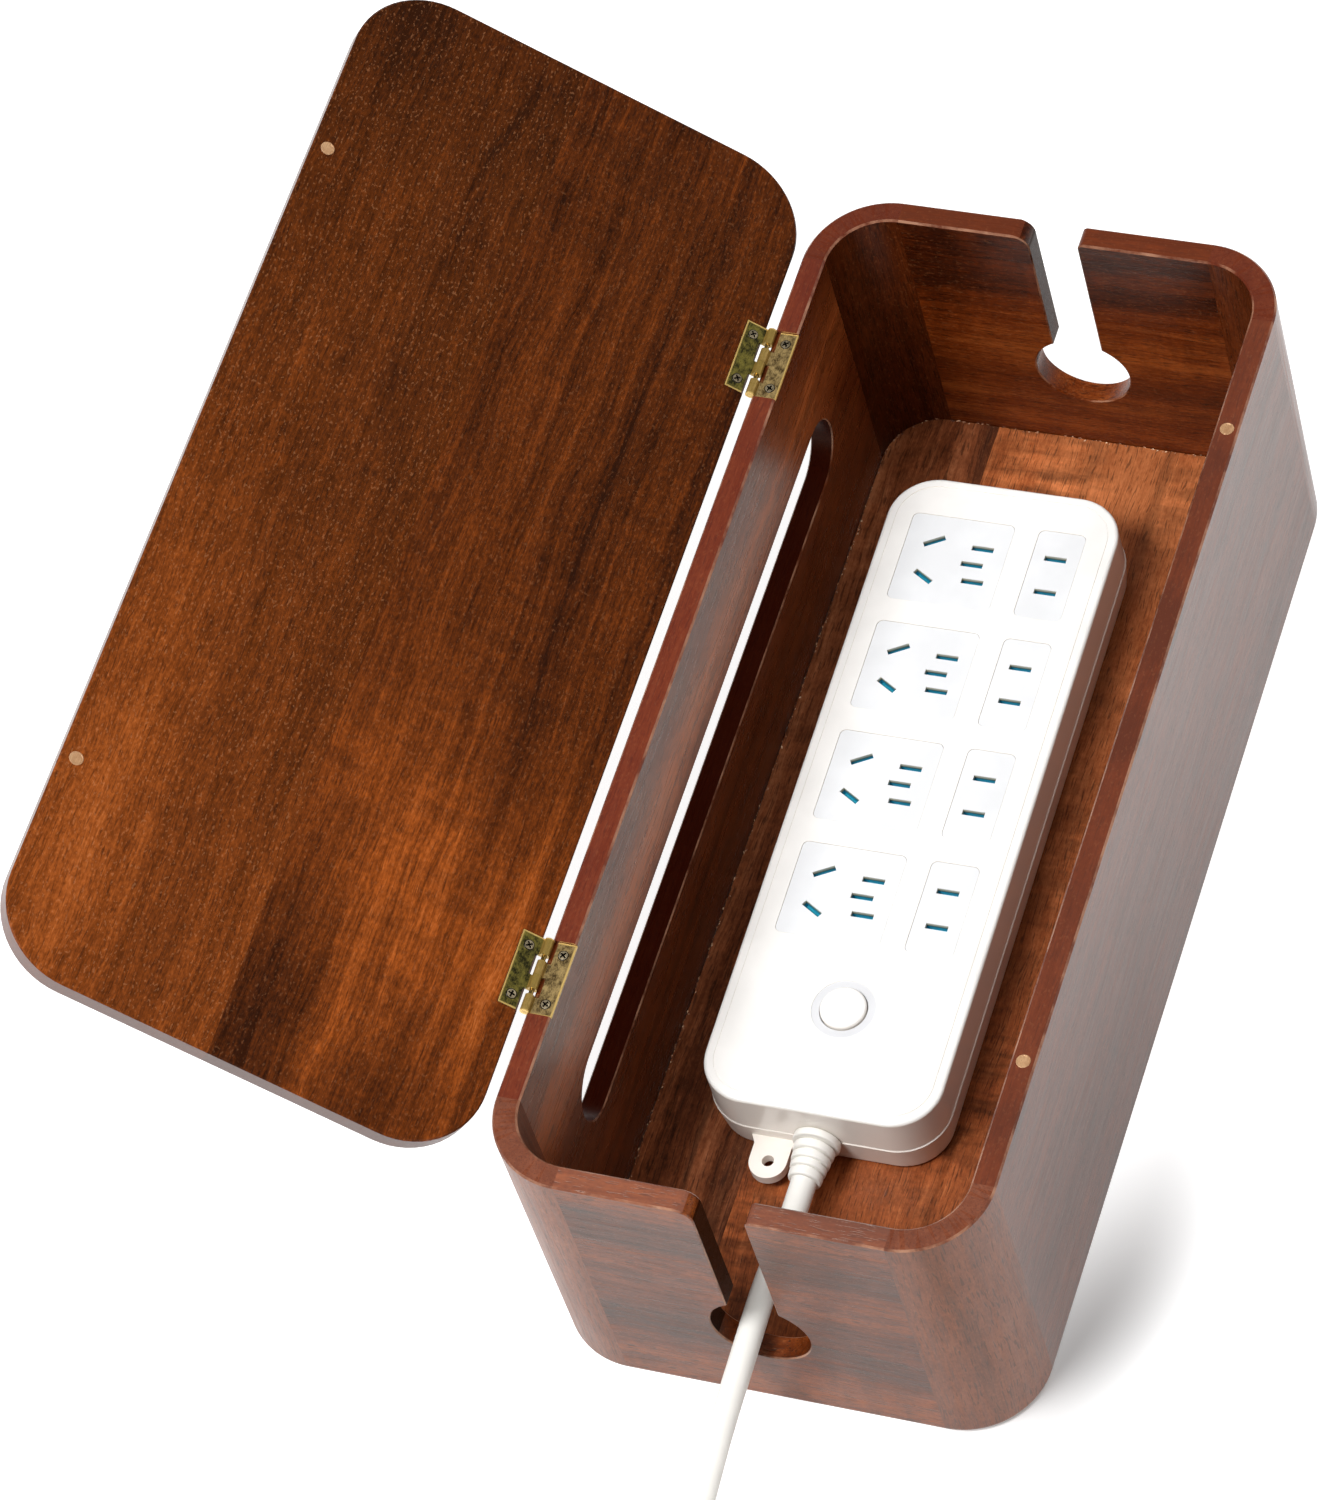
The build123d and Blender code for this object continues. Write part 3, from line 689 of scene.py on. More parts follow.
woodPieces = {
    "lidBack": ["lid_board_back"],
    "lidFront": ["lid_board_front"],
    "frontWall": ["front_wall"],
    "backWall": ["back_wall"],
    "nearEnd": ["near_end_wall"],
    "farEnd": ["far_end_wall"],
    "nearPosts": ["corner_post_near_front", "corner_post_near_back"],
    "farPosts": ["corner_post_far_front", "corner_post_far_back"],
    "floorDark": ["floor_board_back"],
    "floorOrange": ["floor_board_middle", "floor_board_centre"],
    "floorRed": ["floor_board_front"],
}
for finish, pieces in woodPieces.items():
    material = woodMaterial(finish, {**plainWood, **woodLooks[finish]})
    for piece in pieces:
        setMaterial(nodes[piece], material)
print("wood finished")

# noise rows as the wood has them: counts per metre, detail, roughness, seed
plasticLook = {
    "cloud": (60, 60, 3, 0.5, 2),
    "cloudGate": (0.35, 0.65),
    "speckle": (2600, 2600, 2, 0.6, 5),
    "dimmed": 0.93,
    "roughSwing": 0.2,
    "coatRoughness": 0.12,
    "bumpDepth": 0.05 * mm,
    "uprightLean": [(0.3, 1), (0.7, 0)],
}
metalLook = {
    "stain": (320, 320, 5, 0.65, 3),
    "stainShare": 0.7,
    "scrape": (350, 4200, 2, 0.6, 8),
    "toneGate": (0.36, 0.62),
    "roughGate": (0.3, 0.7),
    "roughSwing": 0.3,
    "bumpDepth": 0.03 * mm,
}


def plasticMaterial(name, colour, rough, grain=0.04, coat=0.0, inside=None, sideShade=None):
    look = plasticLook
    material, tree, shader = newMaterial(
        name, Coat_Weight=coat, Coat_Roughness=look["coatRoughness"]
    )
    cloud = stretchedNoise(tree, surface(tree), *look["cloud"])
    speckle = stretchedNoise(tree, surface(tree), *look["speckle"])
    dim = (*[value * look["dimmed"] for value in colour[:3]], 1)
    shade = colourRamp(tree, cloud, list(zip(look["cloudGate"], (dim, colour))))
    if sideShade:
        # painted shade: warmer and darker where the surface stands upright
        lean = calc(tree, "ABSOLUTE", coordinate(tree, surface(tree, "Normal"), "Z"))
        shade = mixColour(tree, colourRamp(tree, lean, look["uprightLean"]), shade, sideShade)
    if inside:
        # painted shade: the slots' walls are coloured from pale at the mouth through olive and dark
        # to teal at the bottom
        depth = mapRange(tree, coordinate(tree, surface(tree), "Z"), inside["levels"], (0, 1))
        wallShade = colourRamp(tree, depth, screenStops(inside["colours"]))
        shade = mixColour(tree, gate(tree, depth, inside["mouth"]), wallShade, shade)
    swing = look["roughSwing"]
    rough = mapRange(tree, speckle, (0, 1), (rough * (1 - swing), rough * (1 + swing)))
    finishShader(tree, shader, shade, rough, speckle, grain, look["bumpDepth"])
    return material


def metalMaterial(name, dark, bright, rough, scratches=0.3, metallic=1.0):
    look = metalLook
    material, tree, shader = newMaterial(name, Metallic=metallic)
    stain = stretchedNoise(tree, surface(tree), *look["stain"])
    scrape = stretchedNoise(tree, surface(tree), *look["scrape"])
    share = look["stainShare"]
    tone = calc(tree, "ADD", times(tree, stain, share), times(tree, scrape, 1 - share))
    shade = colourRamp(tree, tone, list(zip(look["toneGate"], (dark, bright))))
    swing = look["roughSwing"]
    swing = (rough * (1 + swing), rough * (1 - swing))
    rough = mapRange(tree, stain, look["roughGate"], swing)
    finishShader(tree, shader, shade, rough, scrape, scratches, look["bumpDepth"])
    return material


hinge = {
    "x": 112.7 * mm,
    "halfLength": 12.5 * mm,
    "reach": 8.4 * mm,
    "knuckle": -1.7 * mm,
    "knuckleShare": 0.7,
    "knuckleColour": fromScreen(182, 148, 76),
    # the painted highlight along the leaves' edges
    "rubbedWithin": [(0.25, 1), (0.6, 0)],  # millimetres from the edge
    "rubbedColour": fromScreen(232, 196, 116),
    "raggedRim": 0.6 * mm,
    "stain": (420, 420, 5, 0.7, 3),
    "stainShare": 1.6,
    "scrape": (900, 3200, 3, 0.7, 8),
    "scrapeShare": 0.8,
    "toneGate": (0.3, 0.75),
    "scratches": 0.3,
    "metallic": 0.6,
    "roughness": (0.5, 0.22),
    "opened": math.radians(-146.15),
}


def leafMaterial(name, leafPlace, leafTurn, dark, bright):
    # aged plate, with a painted highlight along its edges
    material, tree, shader = newMaterial(name, Metallic=hinge["metallic"])
    local = inPlace(tree, surface(tree), leafPlace, leafTurn)
    side = calc(tree, "ABSOLUTE", coordinate(tree, local, "X"))
    side = calc(tree, "ABSOLUTE", calc(tree, "SUBTRACT", side, hinge["x"]))
    side = calc(tree, "SUBTRACT", hinge["halfLength"], side)
    across = coordinate(tree, local, "Y")
    rim = calc(tree, "MINIMUM", side, calc(tree, "ADD", across, hinge["reach"]))
    stain = stretchedNoise(tree, surface(tree), *hinge["stain"])
    scrape = stretchedNoise(tree, surface(tree), *hinge["scrape"])
    ragged = times(tree, calc(tree, "SUBTRACT", stain, 0.5), hinge["raggedRim"])
    rim = calc(tree, "ADD", rim, ragged)
    rubbed = colourRamp(tree, times(tree, rim, 1 / mm), hinge["rubbedWithin"])
    tone = [(stain, hinge["stainShare"]), (scrape, hinge["scrapeShare"])]
    tone = blendTones(tree, tone)
    shade = colourRamp(tree, tone, list(zip(hinge["toneGate"], (dark, bright))))
    knuckle = calc(tree, "GREATER_THAN", across, hinge["knuckle"])
    knuckle = times(tree, knuckle, hinge["knuckleShare"])
    shade = mixColour(tree, knuckle, shade, hinge["knuckleColour"])
    shade = mixColour(tree, rubbed, shade, hinge["rubbedColour"])
    rough = mapRange(tree, tone, (0, 1), hinge["roughness"])
    depth = metalLook["bumpDepth"]
    finishShader(tree, shader, shade, rough, scrape, hinge["scratches"], depth)
    return material


lidLeafTurn = Matrix.Rotation(hinge["opened"], 3, "X") @ Matrix.Rotation(math.pi, 3, "Y")
lidLeafTurn = lidLeafTurn.to_euler()
# painted shade down the slots' walls
slotDepthShade = {
    "levels": (30 * mm, 33.4 * mm),
    "mouth": (0.92, 0.96),
    "colours": [
        (0.46, 24, 148, 182), (0.52, 40, 60, 60), (0.64, 150, 148, 130), (0.9, 236, 230, 208),
    ],
}
# its upright sides get a painted shade
whiteGloss = plasticMaterial(
    "whiteGloss", (0.95, 0.935, 0.905, 1), 0.22, 0.02, 0.3, sideShade=(0.95, 0.9, 0.83, 1)
)
plateWhite = plasticMaterial("plateWhite", (0.83, 0.845, 0.86, 1), 0.3, inside=slotDepthShade)
baseWhite = plasticMaterial("baseWhite", (0.92, 0.86, 0.79, 1), 0.35)
bezelGrey = plasticMaterial("bezelGrey", (0.72, 0.73, 0.75, 1), 0.3)
tealPlastic = plasticMaterial("tealPlastic", fromScreen(40, 190, 214), 0.45)
cordPlastic = plasticMaterial("cordPlastic", (0.89, 0.87, 0.82, 1), 0.42, 0.1)
blackPlastic = plasticMaterial("blackPlastic", (0.02, 0.02, 0.022, 1), 0.5, 0.2)
boxLeafBrass = leafMaterial(
    "boxLeafBrass", pin, (0, 0, 0), fromScreen(80, 62, 32), fromScreen(200, 170, 112)
)
lidLeafBrass = leafMaterial(
    "lidLeafBrass", pin, lidLeafTurn, fromScreen(38, 36, 8), fromScreen(140, 128, 58)
)
brightBrass = metalMaterial(
    "brightBrass", fromScreen(150, 118, 54), fromScreen(232, 200, 128), 0.28
)
magnetBrass = metalMaterial(
    "magnetBrass", fromScreen(164, 118, 80), fromScreen(206, 164, 122), 0.34, 0.3, 0.3
)
screwSteel = metalMaterial("screwSteel", fromScreen(80, 78, 76), fromScreen(190, 188, 184), 0.3)
plates = [f"socket_plate_{kind}_{row}" for kind in ("wide", "slim") for row in range(1, 5)]
finishes = [
    (whiteGloss, ["strip_upper_shell", "switch_button"]),
    (plateWhite, plates),
    (baseWhite, ["strip_lower_shell"]),
    (bezelGrey, ["switch_bezel"]),
    (tealPlastic, ["contact_carrier_wide", "contact_carrier_slim"]),
    (cordPlastic, ["mains_plug"]),
    (blackPlastic, ["switch_body", "cord_tie"]),
    (brightBrass, ["bus_bar_live", "bus_bar_earth", "bus_bar_neutral", "plug_pins"]),
    (brightBrass, ["hinge_pin_near", "hinge_pin_far"]),
    (screwSteel, ["strip_case_screws", "switch_spring"]),
    (boxLeafBrass, ["hinge_box_leaf_near", "hinge_box_leaf_far"]),
    (lidLeafBrass, ["hinge_lid_leaf_near", "hinge_lid_leaf_far"]),
]
for material, pieces in finishes:
    for piece in pieces:
        setMaterial(nodes[piece], material)
cord.data.materials.append(cordPlastic)
print("plastics and metals finished")


def turnedMesh(name, profile, steps):
    # a closed solid turned about Z from (radius, height) pairs; the ends have radius 0
    mesh = bmesh.new()
    rings = []
    for radius, height in profile:
        count = 1 if radius == 0 else steps
        ring = []
        for step in range(count):
            angle = 2 * math.pi * step / steps
            place = (radius * math.cos(angle), radius * math.sin(angle), height)
            ring.append(mesh.verts.new(place))
        rings.append(ring)
    for lower, upper in zip(rings, rings[1:]):
        for step in range(steps):
            corners = [lower[step % len(lower)], lower[(step + 1) % steps % len(lower)]]
            corners += [upper[(step + 1) % steps % len(upper)], upper[step % len(upper)]]
            mesh.faces.new(list(dict.fromkeys(corners)))
    bmesh.ops.recalc_face_normals(mesh, faces=mesh.faces)
    data = meshFrom(name, mesh)
    data.shade_smooth()
    return data


def roundedSteps(points, radius, steps=4):
    # the same outline with its inner corners rounded
    smooth = [points[0]]
    for before, here, after in zip(points, points[1:], points[2:]):
        here = Vector(here)
        back = Vector(before) - here
        on = Vector(after) - here
        reach = min(radius, back.length * 0.45, on.length * 0.45)
        start = here + back.normalized() * reach
        end = here + on.normalized() * reach
        for step in range(steps + 1):
            share = step / steps
            way = start.lerp(here, share).lerp(here.lerp(end, share), share)
            smooth.append((way.x, way.y))
    return smooth + [points[-1]]


def newPiece(name, data, body, material, replaced=()):
    piece = newObject(name, data)
    setMaterial(piece, material)
    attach(piece, body)
    if replaced:
        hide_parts(*replaced)
    return piece


def nodeGroup(name, sockets):
    group = bpy.data.node_groups.new(name, "GeometryNodeTree")
    for label, kind in sockets.items():
        group.interface.new_socket(label, in_out="INPUT", socket_type="NodeSocket" + kind)
    group.interface.new_socket("Geometry", in_out="OUTPUT", socket_type="NodeSocketGeometry")
    source = group.nodes.new("NodeGroupInput").outputs
    return group, source


def closeGroup(group, geometry, material):
    # every group ends in real instances with their material
    whole = valueOf(group, "GeometryNodeRealizeInstances", {"Geometry": geometry})
    whole = valueOf(group, "GeometryNodeSetMaterial", {"Geometry": whole, "Material": material})
    end = group.nodes.new("NodeGroupOutput")
    group.links.new(whole, end.inputs["Geometry"])


def grown(name, data, group, values):
    # the mesh that a node group makes from one small mesh
    maker = newObject(name, data)
    modifier = maker.modifiers.new(name, "NODES")
    modifier.node_group = group
    for item in group.interface.items_tree:
        if item.in_out == "INPUT" and item.name in values:
            modifier[item.identifier] = values[item.name]
    whole = baked(maker)
    whole.name = name
    maker.modifiers.clear()
    bpy.data.objects.remove(maker)
    return whole


def repeatGroup():
    # copies of a small piece: a few at each of two places, in a frame of their own
    sockets = {"Geometry": "Geometry", "Material": "Material", "Turn": "Rotation"}
    sockets.update({name: "Vector" for name in ("Spacing", "Pitch", "Offset", "Place")})
    sockets.update({"Count": "Int", "Seed": "Int"})
    group, source = nodeGroup("pairedCopies", sockets)
    backHalf = (-0.5, -0.5, -0.5)
    start = vectorCalc(group, "MULTIPLY", source["Spacing"], backHalf)
    line = {"Count": 2, "Start Location": start, "Offset": source["Spacing"]}
    places = valueOf(group, "GeometryNodeMeshLine", line)
    gaps = calc(group, "SUBTRACT", source["Count"], 1.0)
    back = {0: source["Pitch"], "Scale": gaps}
    back = valueOf(group, "ShaderNodeVectorMath", back, operation="SCALE")
    back = vectorCalc(group, "MULTIPLY_ADD", back, backHalf, source["Offset"])
    line = {"Count": source["Count"], "Start Location": back, "Offset": source["Pitch"]}
    few = valueOf(group, "GeometryNodeMeshLine", line)
    spots = valueOf(group, "GeometryNodeInstanceOnPoints", {"Points": places, "Instance": few})
    spots = valueOf(group, "GeometryNodeRealizeInstances", {"Geometry": spots})
    spin = {"Min": (0, 0, 0), "Max": (0, 0, 2 * math.pi), "Seed": source["Seed"]}
    angle = valueOf(group, "FunctionNodeRandomValue", spin, data_type="FLOAT_VECTOR")
    turn = valueOf(group, "FunctionNodeEulerToRotation", {0: angle})
    copies = {"Points": spots, "Instance": source["Geometry"], "Rotation": turn}
    copies = valueOf(group, "GeometryNodeInstanceOnPoints", copies)
    frameOf = {"Geometry": copies, "Translation": source["Place"], "Rotation": source["Turn"]}
    placed = valueOf(group, "GeometryNodeTransform", frameOf)
    closeGroup(group, placed, source["Material"])
    return group


pairedCopies = repeatGroup()

screwLook = {
    "radius": 1.7 * mm,
    "dome": 0.3 * mm,
    "domeSteps": 6,
    "edge": [(0.985, 0.02 * mm), (1, -0.05 * mm)],  # share of the radius, height
    "sink": 0.7 * mm,
    "shank": 0.95 * mm,
    "core": 0.74,
    "length": 5.4 * mm,
    "threads": 9,
    "threadedShare": 0.75,
    "plainShank": 0.3 * mm,
    "crossReach": 1.3 * mm,
    "crossWidth": 0.6 * mm,
    "crossDepth": 0.8 * mm,
    "crossTaper": 0.45,
    "toolAbove": 0.1 * mm,
    # depth and reach of the painted shade in the cross and round the head
    "recessShadeBelow": 0.08 * mm,
    "recessShadeFrom": 0.9,
    "steps": 40,
    "pitch": 17 * mm,
    "offset": (0, -5.3 * mm, -0.65 * mm),
    "seeds": {"box": 4, "lid": 11},
}


def screwMesh(look):
    # oval head with a tapered cross recess, on a threaded shank
    radius = look["radius"]
    profile = [(0, look["dome"])]
    for step in range(1, look["domeSteps"]):
        share = step / look["domeSteps"]
        profile.append((radius * share, look["dome"] * (1 - share * share)))
    profile += [(radius * share, height) for share, height in look["edge"]]
    profile += [(look["shank"], -look["sink"])]
    run = (look["length"] - look["sink"]) * look["threadedShare"] / look["threads"]
    for turn in range(look["threads"]):
        start = -look["sink"] - look["plainShank"] - turn * run
        profile += [(look["shank"], start), (look["shank"] * look["core"], start - run / 2)]
    profile += [(0, -look["length"])]
    screw = newObject("hingeScrew", turnedMesh("hingeScrew", profile, look["steps"]))
    tool = bmesh.new()
    for turn in (0, math.pi / 2):
        arm = bmesh.ops.create_cube(tool, size=1)["verts"]
        for vert in arm:
            above = vert.co.z > 0
            narrow = 1.0 if above else look["crossTaper"]
            vert.co.x *= 2 * look["crossReach"] * narrow
            vert.co.y *= look["crossWidth"] * narrow
            vert.co.z = look["dome"] + (look["toolAbove"] if above else -look["crossDepth"])
        bmesh.ops.rotate(tool, verts=arm, cent=(0, 0, 0), matrix=Matrix.Rotation(turn, 3, "Z"))
    cutter = newObject("crossTool", meshFrom("crossTool", tool))
    cut = screw.modifiers.new("cross", "BOOLEAN")
    cut.object = cutter
    cut.solver = "EXACT"
    cut.use_self = True
    result = baked(screw)
    bpy.data.objects.remove(cutter)
    bpy.data.objects.remove(screw)
    # painted shade: the faces in the cross and round the head are marked dark
    recessShade = result.attributes.new("recessShade", "FLOAT", "FACE")
    for face in result.polygons:
        out = Vector(face.center[:2]).length
        level = look["dome"] * (1 - (out / radius) ** 2)
        inCross = out < look["crossReach"] and face.center.z < level - look["recessShadeBelow"]
        recessShade.data[face.index].value = float(inCross or out > radius * look["recessShadeFrom"])
    return result


def screwMaterial(name):
    material = metalMaterial(name, fromScreen(92, 82, 62), fromScreen(186, 170, 138), 0.3, 0.3, 0.6)
    tree = material.node_tree
    shader = nodeOf(tree, "BSDF_PRINCIPLED")
    steel = shader.inputs["Base Color"].links[0].from_socket
    # dark colour of the painted shade in the cross and round the head
    recessShade = addNode(tree, "ShaderNodeAttribute", attribute_name="recessShade").outputs["Fac"]
    tree.links.new(mixColour(tree, recessShade, steel, fromScreen(20, 14, 7)), shader.inputs["Base Color"])
    return material


hingeScrewSteel = screwMaterial("hingeScrewSteel")
for owner, turn in (("box", (0, 0, 0)), ("lid", lidLeafTurn)):
    name = f"{owner}HingeScrews"
    values = {
        "Spacing": (2 * hinge["x"], 0, 0),
        "Pitch": (screwLook["pitch"], 0, 0),
        "Count": 2,
        "Offset": screwLook["offset"],
        "Place": pin,
        "Turn": turn,
        "Seed": screwLook["seeds"][owner],
        "Material": hingeScrewSteel,
    }
    screws = grown(name, screwMesh(screwLook), pairedCopies, values)
    newPiece(name, screws, owner, hingeScrewSteel, [f"hinge_{owner}_screws"])
print("hinge screws made")

magnetLook = {
    "radius": 2.2 * mm,
    "top": 0.15 * mm,
    "dish": 0.12 * mm,
    "rim": 0.45 * mm,
    "side": 1.2 * mm,
    "thickness": 3.0 * mm,
    "rounding": 0.15 * mm,
    "steps": 40,
}


def magnetMesh(look):
    # plated disc with a rounded rim and a shallow dished face
    top = look["top"]
    radius = look["radius"]
    flat = radius - look["rim"]
    profile = [(0, top - look["dish"]), (flat * 0.5, top - look["dish"])]
    outline = [
        (flat * 0.6, top - look["dish"]),
        (flat, top - look["dish"]),
        (radius - look["rim"] * 0.7, top),
        (radius, top),
        (radius, top - look["side"]),
    ]
    profile += roundedSteps(outline, look["rounding"])
    profile += [(radius, top - look["thickness"]), (0, top - look["thickness"])]
    return turnedMesh("magnetDisc", profile, look["steps"])


# the lid's discs are set from the pin, level with its underside
magnetPlaces = {
    "rim": ("box", (0, 0, 0), (0, -72.75 * mm, 112 * mm), (0, 0, 0)),
    "lid": ("lid", (0, -150.15 * mm, -0.75 * mm), pin, lidLeafTurn),
}
for owner, (body, offset, place, turn) in magnetPlaces.items():
    values = {
        "Spacing": (2 * hinge["x"], 0, 0),
        "Count": 1,
        "Offset": offset,
        "Place": place,
        "Turn": turn,
        "Seed": 2,
        "Material": magnetBrass,
    }
    discs = grown(f"{owner}Magnets", magnetMesh(magnetLook), pairedCopies, values)
    newPiece(f"{owner}MagnetDiscs", discs, body, magnetBrass, [f"{owner}_magnets"])
print("magnets made")

# the sleeve's sizes are in millimetres, its ribs given as radius, start, end
reliefLook = {
    "start": -4.0,
    "root": 5.2,
    "flange": (7.5, 2.5),  # radius, end
    "ribs": [(6.6, 3.3, 5.9), (6.2, 6.7, 9.0), (5.8, 9.8, 11.6), (5.4, 12.3, 15.0)],
    "valley": 5.0,
    "leastRib": 0.9,
    "taper": 0.15,
    "bore": 3.8,
    "rounding": 0.6,
    "steps": 64,
    "onStrip": (-116.5, 0, 12.5),
    "strip": (15.2, 11.7, 5.5),
    "stripTurn": math.radians(0.5),
}


def reliefMesh(look):
    # ribbed sleeve, drawn from the case outwards
    radius, end = look["flange"]
    root = look["root"]
    points = [(0, look["start"]), (root, look["start"]), (root, 0), (radius, 0), (radius, end)]
    for ribRadius, ribStart, ribEnd in look["ribs"]:
        valley = min(look["valley"], ribRadius - look["leastRib"])
        points += [(valley, points[-1][1] + 0.1), (valley, ribStart - 0.1)]
        points += [(ribRadius, ribStart), (ribRadius - look["taper"], ribEnd)]
    points += [(look["bore"], ribEnd), (0, ribEnd)]
    points = [(radius * mm, height * mm) for radius, height in points]
    data = turnedMesh("strainRelief", roundedSteps(points, look["rounding"] * mm), look["steps"])
    strip = Matrix.Translation(Vector(look["strip"]) * mm)
    strip @= Matrix.Rotation(look["stripTurn"], 4, "Z")
    outlet = Matrix.Translation(Vector(look["onStrip"]) * mm)
    outlet @= Matrix.Rotation(-math.pi / 2, 4, "Y")
    data.transform(strip @ outlet)
    return data


newPiece(
    "strainRelief", reliefMesh(reliefLook), "box", cordPlastic, ["strain_relief"]
)
print("strain relief made")

# the switch's spring, which gets shorter as the button goes down; here it is only copied with its
# loose triangles merged
springLook = {"length": 9.8, "travel": 2.2, "spare": 0.005, "mergeWithin": 0.001 * mm}


def springMesh(look):
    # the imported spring, with its loose triangles merged
    coil = bmesh.new()
    coil.from_mesh(nodes["switch_spring"].data)
    bmesh.ops.remove_doubles(coil, verts=coil.verts, dist=look["mergeWithin"])
    data = meshFrom("switchSpring", coil)
    data.shade_smooth()
    return data


spring = newPiece(
    "switchSpring", springMesh(springLook), "box", screwSteel, ["switch_spring"]
)
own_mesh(spring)
print("switch spring made")

# splinters lie along a round-cornered line, where the floor meets the walls
chipLook = {
    "Width": 2 * 172.3 * mm,
    "Depth": 2 * 68.8 * mm,
    "Corner": 18.4 * mm,
    "Height": 5.5 * mm,
    "Spacing": 1.2 * mm,
    "Kept": 0.7,
    "Smallest": 0.5 * mm,
    "Largest": 1.9 * mm,
}
chipScatter = {
    "nearest": (-0.7 * mm, -0.7 * mm, -0.1 * mm),
    "furthest": (0.4 * mm, 0.4 * mm, 0.1 * mm),
    "leanFrom": (-0.5, -0.5, -0.6),
    "leanTo": (0.5, 0.5, 0.6),
}
splinter = {
    "girth": 0.75,
    "ragged": 0.25,
    "step": 2.4,
    "thin": 0.45,
    "grain": (400, 400, 3, 0.7, 4),
    "colours": [(0.4, 90, 48, 28), (0.5, 176, 118, 84), (0.6, 232, 196, 160)],
}


def chipGroup(scatter):
    sockets = {"Geometry": "Geometry", "Seed": "Int", "Material": "Material"}
    sockets.update({name: "Float" for name in chipLook})
    group, source = nodeGroup("edgeChips", sockets)

    def randomly(kind, **limits):
        inputs = {**limits, "Seed": source["Seed"]}
        return valueOf(group, "FunctionNodeRandomValue", inputs, data_type=kind)

    line = {0: source["Width"], 1: source["Depth"]}
    line = valueOf(group, "GeometryNodeCurvePrimitiveQuadrilateral", line)
    line = {"Curve": line, "Radius": source["Corner"], "Count": 8}
    line = valueOf(group, "GeometryNodeFilletCurve", line, mode="POLY")
    line = {"Curve": line, "Length": source["Spacing"]}
    spots = addNode(group, "GeometryNodeCurveToPoints", line, mode="LENGTH")
    jitter = randomly("FLOAT_VECTOR", Min=scatter["nearest"], Max=scatter["furthest"])
    rise = valueOf(group, "ShaderNodeCombineXYZ", {"Z": source["Height"]})
    shift = vectorCalc(group, "ADD", jitter, rise)
    points = {"Geometry": spots.outputs["Points"], "Offset": shift}
    points = valueOf(group, "GeometryNodeSetPosition", points)
    tilt = randomly("FLOAT_VECTOR", Min=scatter["leanFrom"], Max=scatter["leanTo"])
    tilt = valueOf(group, "FunctionNodeEulerToRotation", {0: tilt})
    turn = {0: spots.outputs["Rotation"], 1: tilt}
    chips = {
        "Points": points,
        "Selection": randomly("BOOLEAN", Probability=source["Kept"]),
        "Instance": source["Geometry"],
        "Rotation": valueOf(group, "FunctionNodeRotateRotation", turn),
        "Scale": randomly("FLOAT", Min=source["Smallest"], Max=source["Largest"]),
    }
    chips = valueOf(group, "GeometryNodeInstanceOnPoints", chips)
    closeGroup(group, chips, source["Material"])
    return group


def chipMesh(look):
    # one ragged splinter, a unit long
    chip = bmesh.new()
    bmesh.ops.create_icosphere(chip, subdivisions=1, radius=0.5)
    for index, vert in enumerate(chip.verts):
        vert.co *= look["girth"] + look["ragged"] * math.sin(index * look["step"])
        vert.co.y *= look["thin"]
        vert.co.x *= look["thin"]
    return meshFrom("edgeChip", chip)


def chipMaterial(look):
    material, tree, shader = newMaterial("chipWood", Roughness=0.6)
    tone = stretchedNoise(tree, surface(tree), *look["grain"])
    colour = colourRamp(tree, tone, screenStops(look["colours"]))
    tree.links.new(colour, shader.inputs["Base Color"])
    return material


chipWood = chipMaterial(splinter)
values = {**chipLook, "Seed": 7, "Material": chipWood}
chips = grown("floorChips", chipMesh(splinter), chipGroup(chipScatter), values)
newPiece("floorChips", chips, "box", chipWood)
print("floor edge chips made")

studioLook = {
    "floorSize": 8.0,
    "floorDiffuse": 0.7,
    "floorGlow": 0.02,
    "farGlow": 0.8,
    "mirroredGlow": (0.55, 1.0),
    "mirroredReach": (0.02, 0.28),
    "shadeCentre": (-0.152, -0.083, 0),
    "shadeTurn": math.radians(-14),
    "shadeSize": (0.115, 0.043, 1),
    "ambientAbove": 0.5,
    "ambientSide": 0.4,
    "mirrorAbove": 0.12,
    "mirrorSide": 1.0,
    "skyBlend": (0.1, 0.6),
    "aim": (0, 0, 0.06),
    "lamps": [
        {"place": (-0.9, 0.6, 2.15), "size": 0.9, "power": 50, "mirrored": True},
        {"place": (0.35, -1.0, 2.3), "size": 1.6, "power": 15, "mirrored": False},
    ],
}


def clearRays(tree, path):
    return calc(tree, "MAXIMUM", path.outputs["Is Camera Ray"], path.outputs["Is Transmission Ray"])


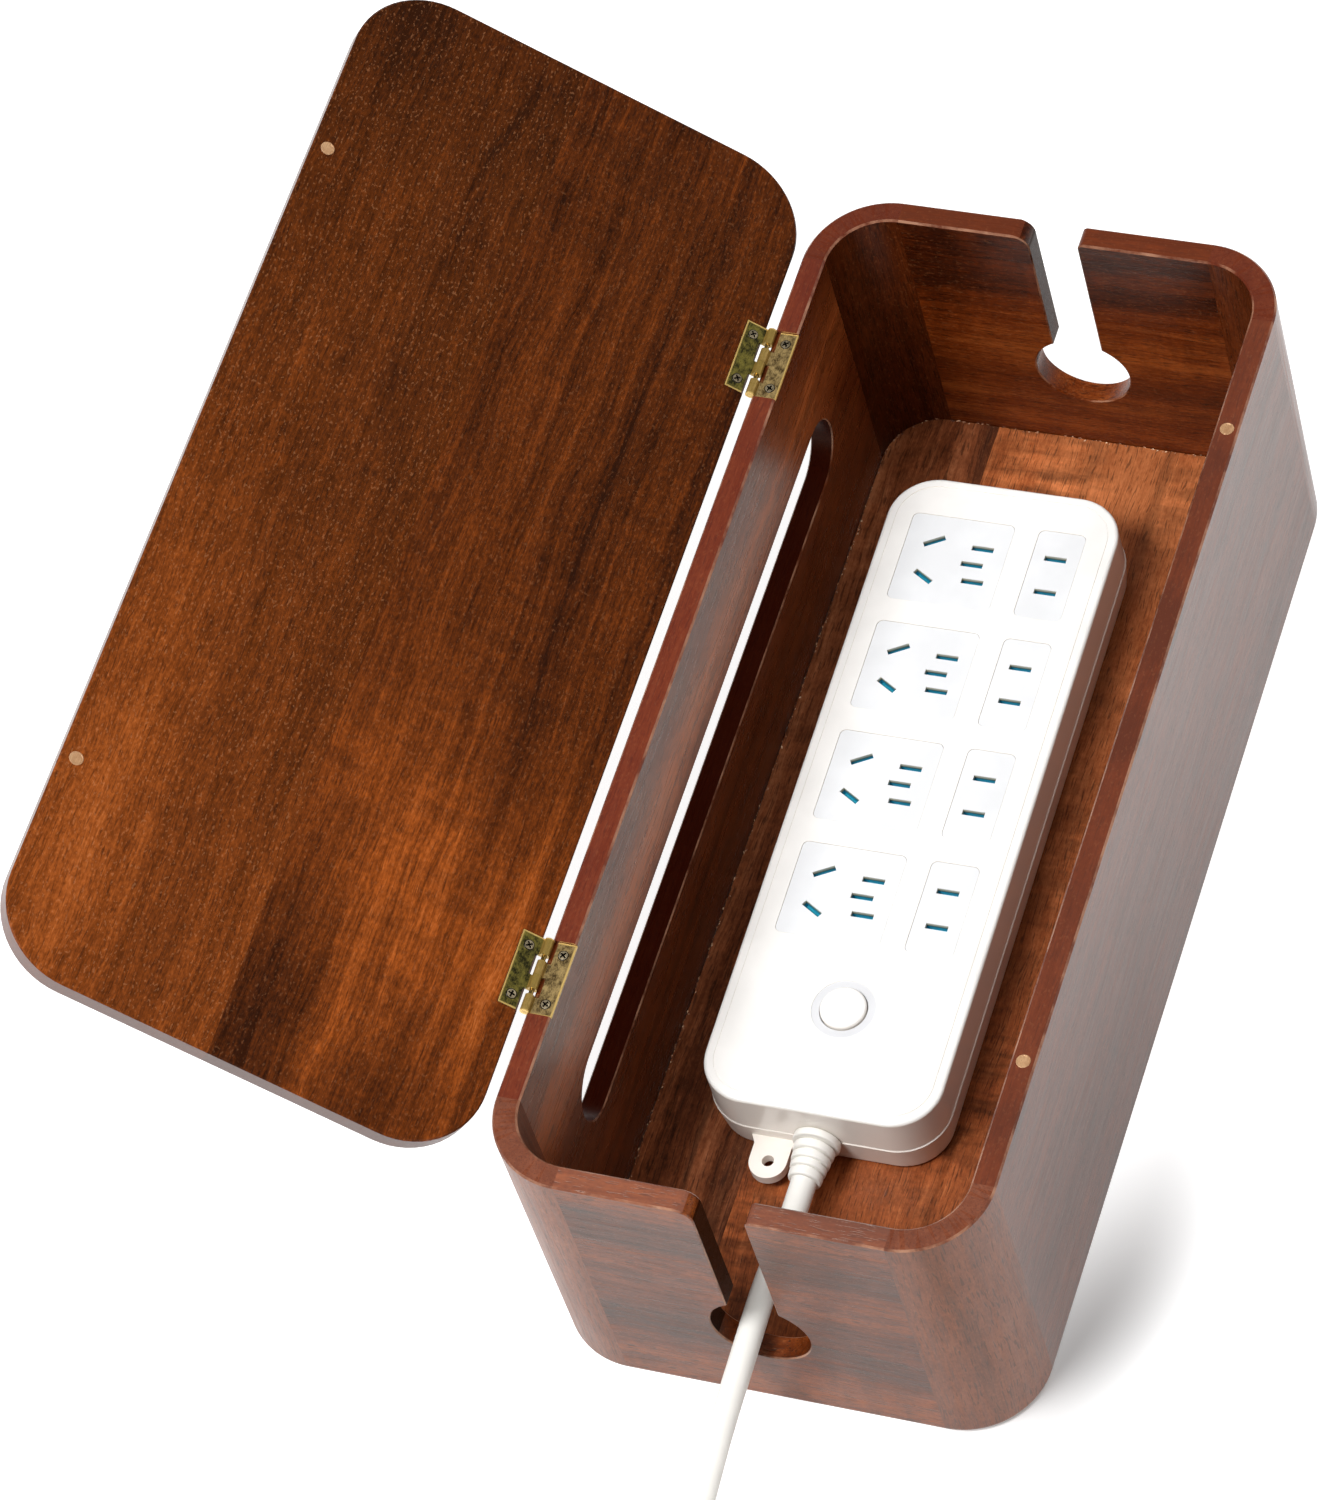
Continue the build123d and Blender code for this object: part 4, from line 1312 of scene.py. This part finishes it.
def makeWorld(look):
    # white behind the object; darker overhead, where only mirrored rays and soft light reach
    world = bpy.data.worlds.new("paleStudio")
    world.use_nodes = True
    bpy.context.scene.world = world
    tree = world.node_tree
    background = nodeOf(tree, "BACKGROUND")
    background.inputs["Color"].default_value = (1, 1, 1, 1)
    path = addNode(tree, "ShaderNodeLightPath")
    up = coordinate(tree, surface(tree, "Generated"), "Z")
    strength = mapRange(tree, up, look["skyBlend"], (look["ambientSide"], look["ambientAbove"]))
    mirror = mapRange(tree, up, look["skyBlend"], (look["mirrorSide"], look["mirrorAbove"]))
    strength = mapRange(tree, path.outputs["Is Glossy Ray"], (0, 1), (strength, mirror))
    strength = mapRange(tree, clearRays(tree, path), (0, 1), (strength, 1.0))
    tree.links.new(strength, background.inputs["Strength"])


def makeFloor(look):
    half = look["floorSize"] / 2
    mesh = bpy.data.meshes.new("studioFloor")
    corners = [(-half, -half, 0), (half, -half, 0), (half, half, 0), (-half, half, 0)]
    mesh.from_pydata(corners, [], [(0, 1, 2, 3)])
    floor = newObject("studioFloor", mesh)
    material, tree, shader = newMaterial(
        "studioFloor",
        Roughness=1,
        Base_Color=(look["floorDiffuse"],) * 3 + (1,),
        Specular_IOR_Level=0,
        Emission_Color=(1, 1, 1, 1),
    )

    def outwards(distance, reach, strengths):
        return mapRange(tree, distance, reach, strengths, interpolation_type="SMOOTHSTEP")

    # painted shadow: the paper glows less in a long patch by the front corner, where the box's
    # shadow lies
    centre = look["shadeCentre"]
    patch = inPlace(tree, surface(tree), centre, (0, 0, look["shadeTurn"]), look["shadeSize"])
    patch = vectorCalc(tree, "LENGTH", patch)
    glow = outwards(patch, (0, 1), (look["floorGlow"], look["farGlow"]))
    # painted shadow in reflections: for glossy rays the floor glows less near the same corner
    away = vectorCalc(tree, "DISTANCE", surface(tree), centre)
    mirrored = outwards(away, look["mirroredReach"], look["mirroredGlow"])
    # it glows for camera, transmission and glossy rays, and gives no light
    path = addNode(tree, "ShaderNodeLightPath")
    glow = times(tree, clearRays(tree, path), glow)
    glow = calc(tree, "ADD", glow, times(tree, path.outputs["Is Glossy Ray"], mirrored))
    tree.links.new(glow, shader.inputs["Emission Strength"])
    setMaterial(floor, material)


def makeLamp(lamp, aim):
    data = bpy.data.lights.new("softLamp", "AREA")
    data.shape = "DISK"
    data.size = lamp["size"]
    data.energy = lamp["power"]
    light = newObject("softLamp", data)
    light.location = lamp["place"]
    ray = Vector(aim) - Vector(lamp["place"])
    light.rotation_euler = ray.to_track_quat("-Z", "Y").to_euler()
    light.visible_glossy = lamp["mirrored"]


bpy.context.scene.view_settings.view_transform = "Standard"
makeWorld(studioLook)
makeFloor(studioLook)
for lamp in studioLook["lamps"]:
    makeLamp(lamp, studioLook["aim"])
print("studio lit")
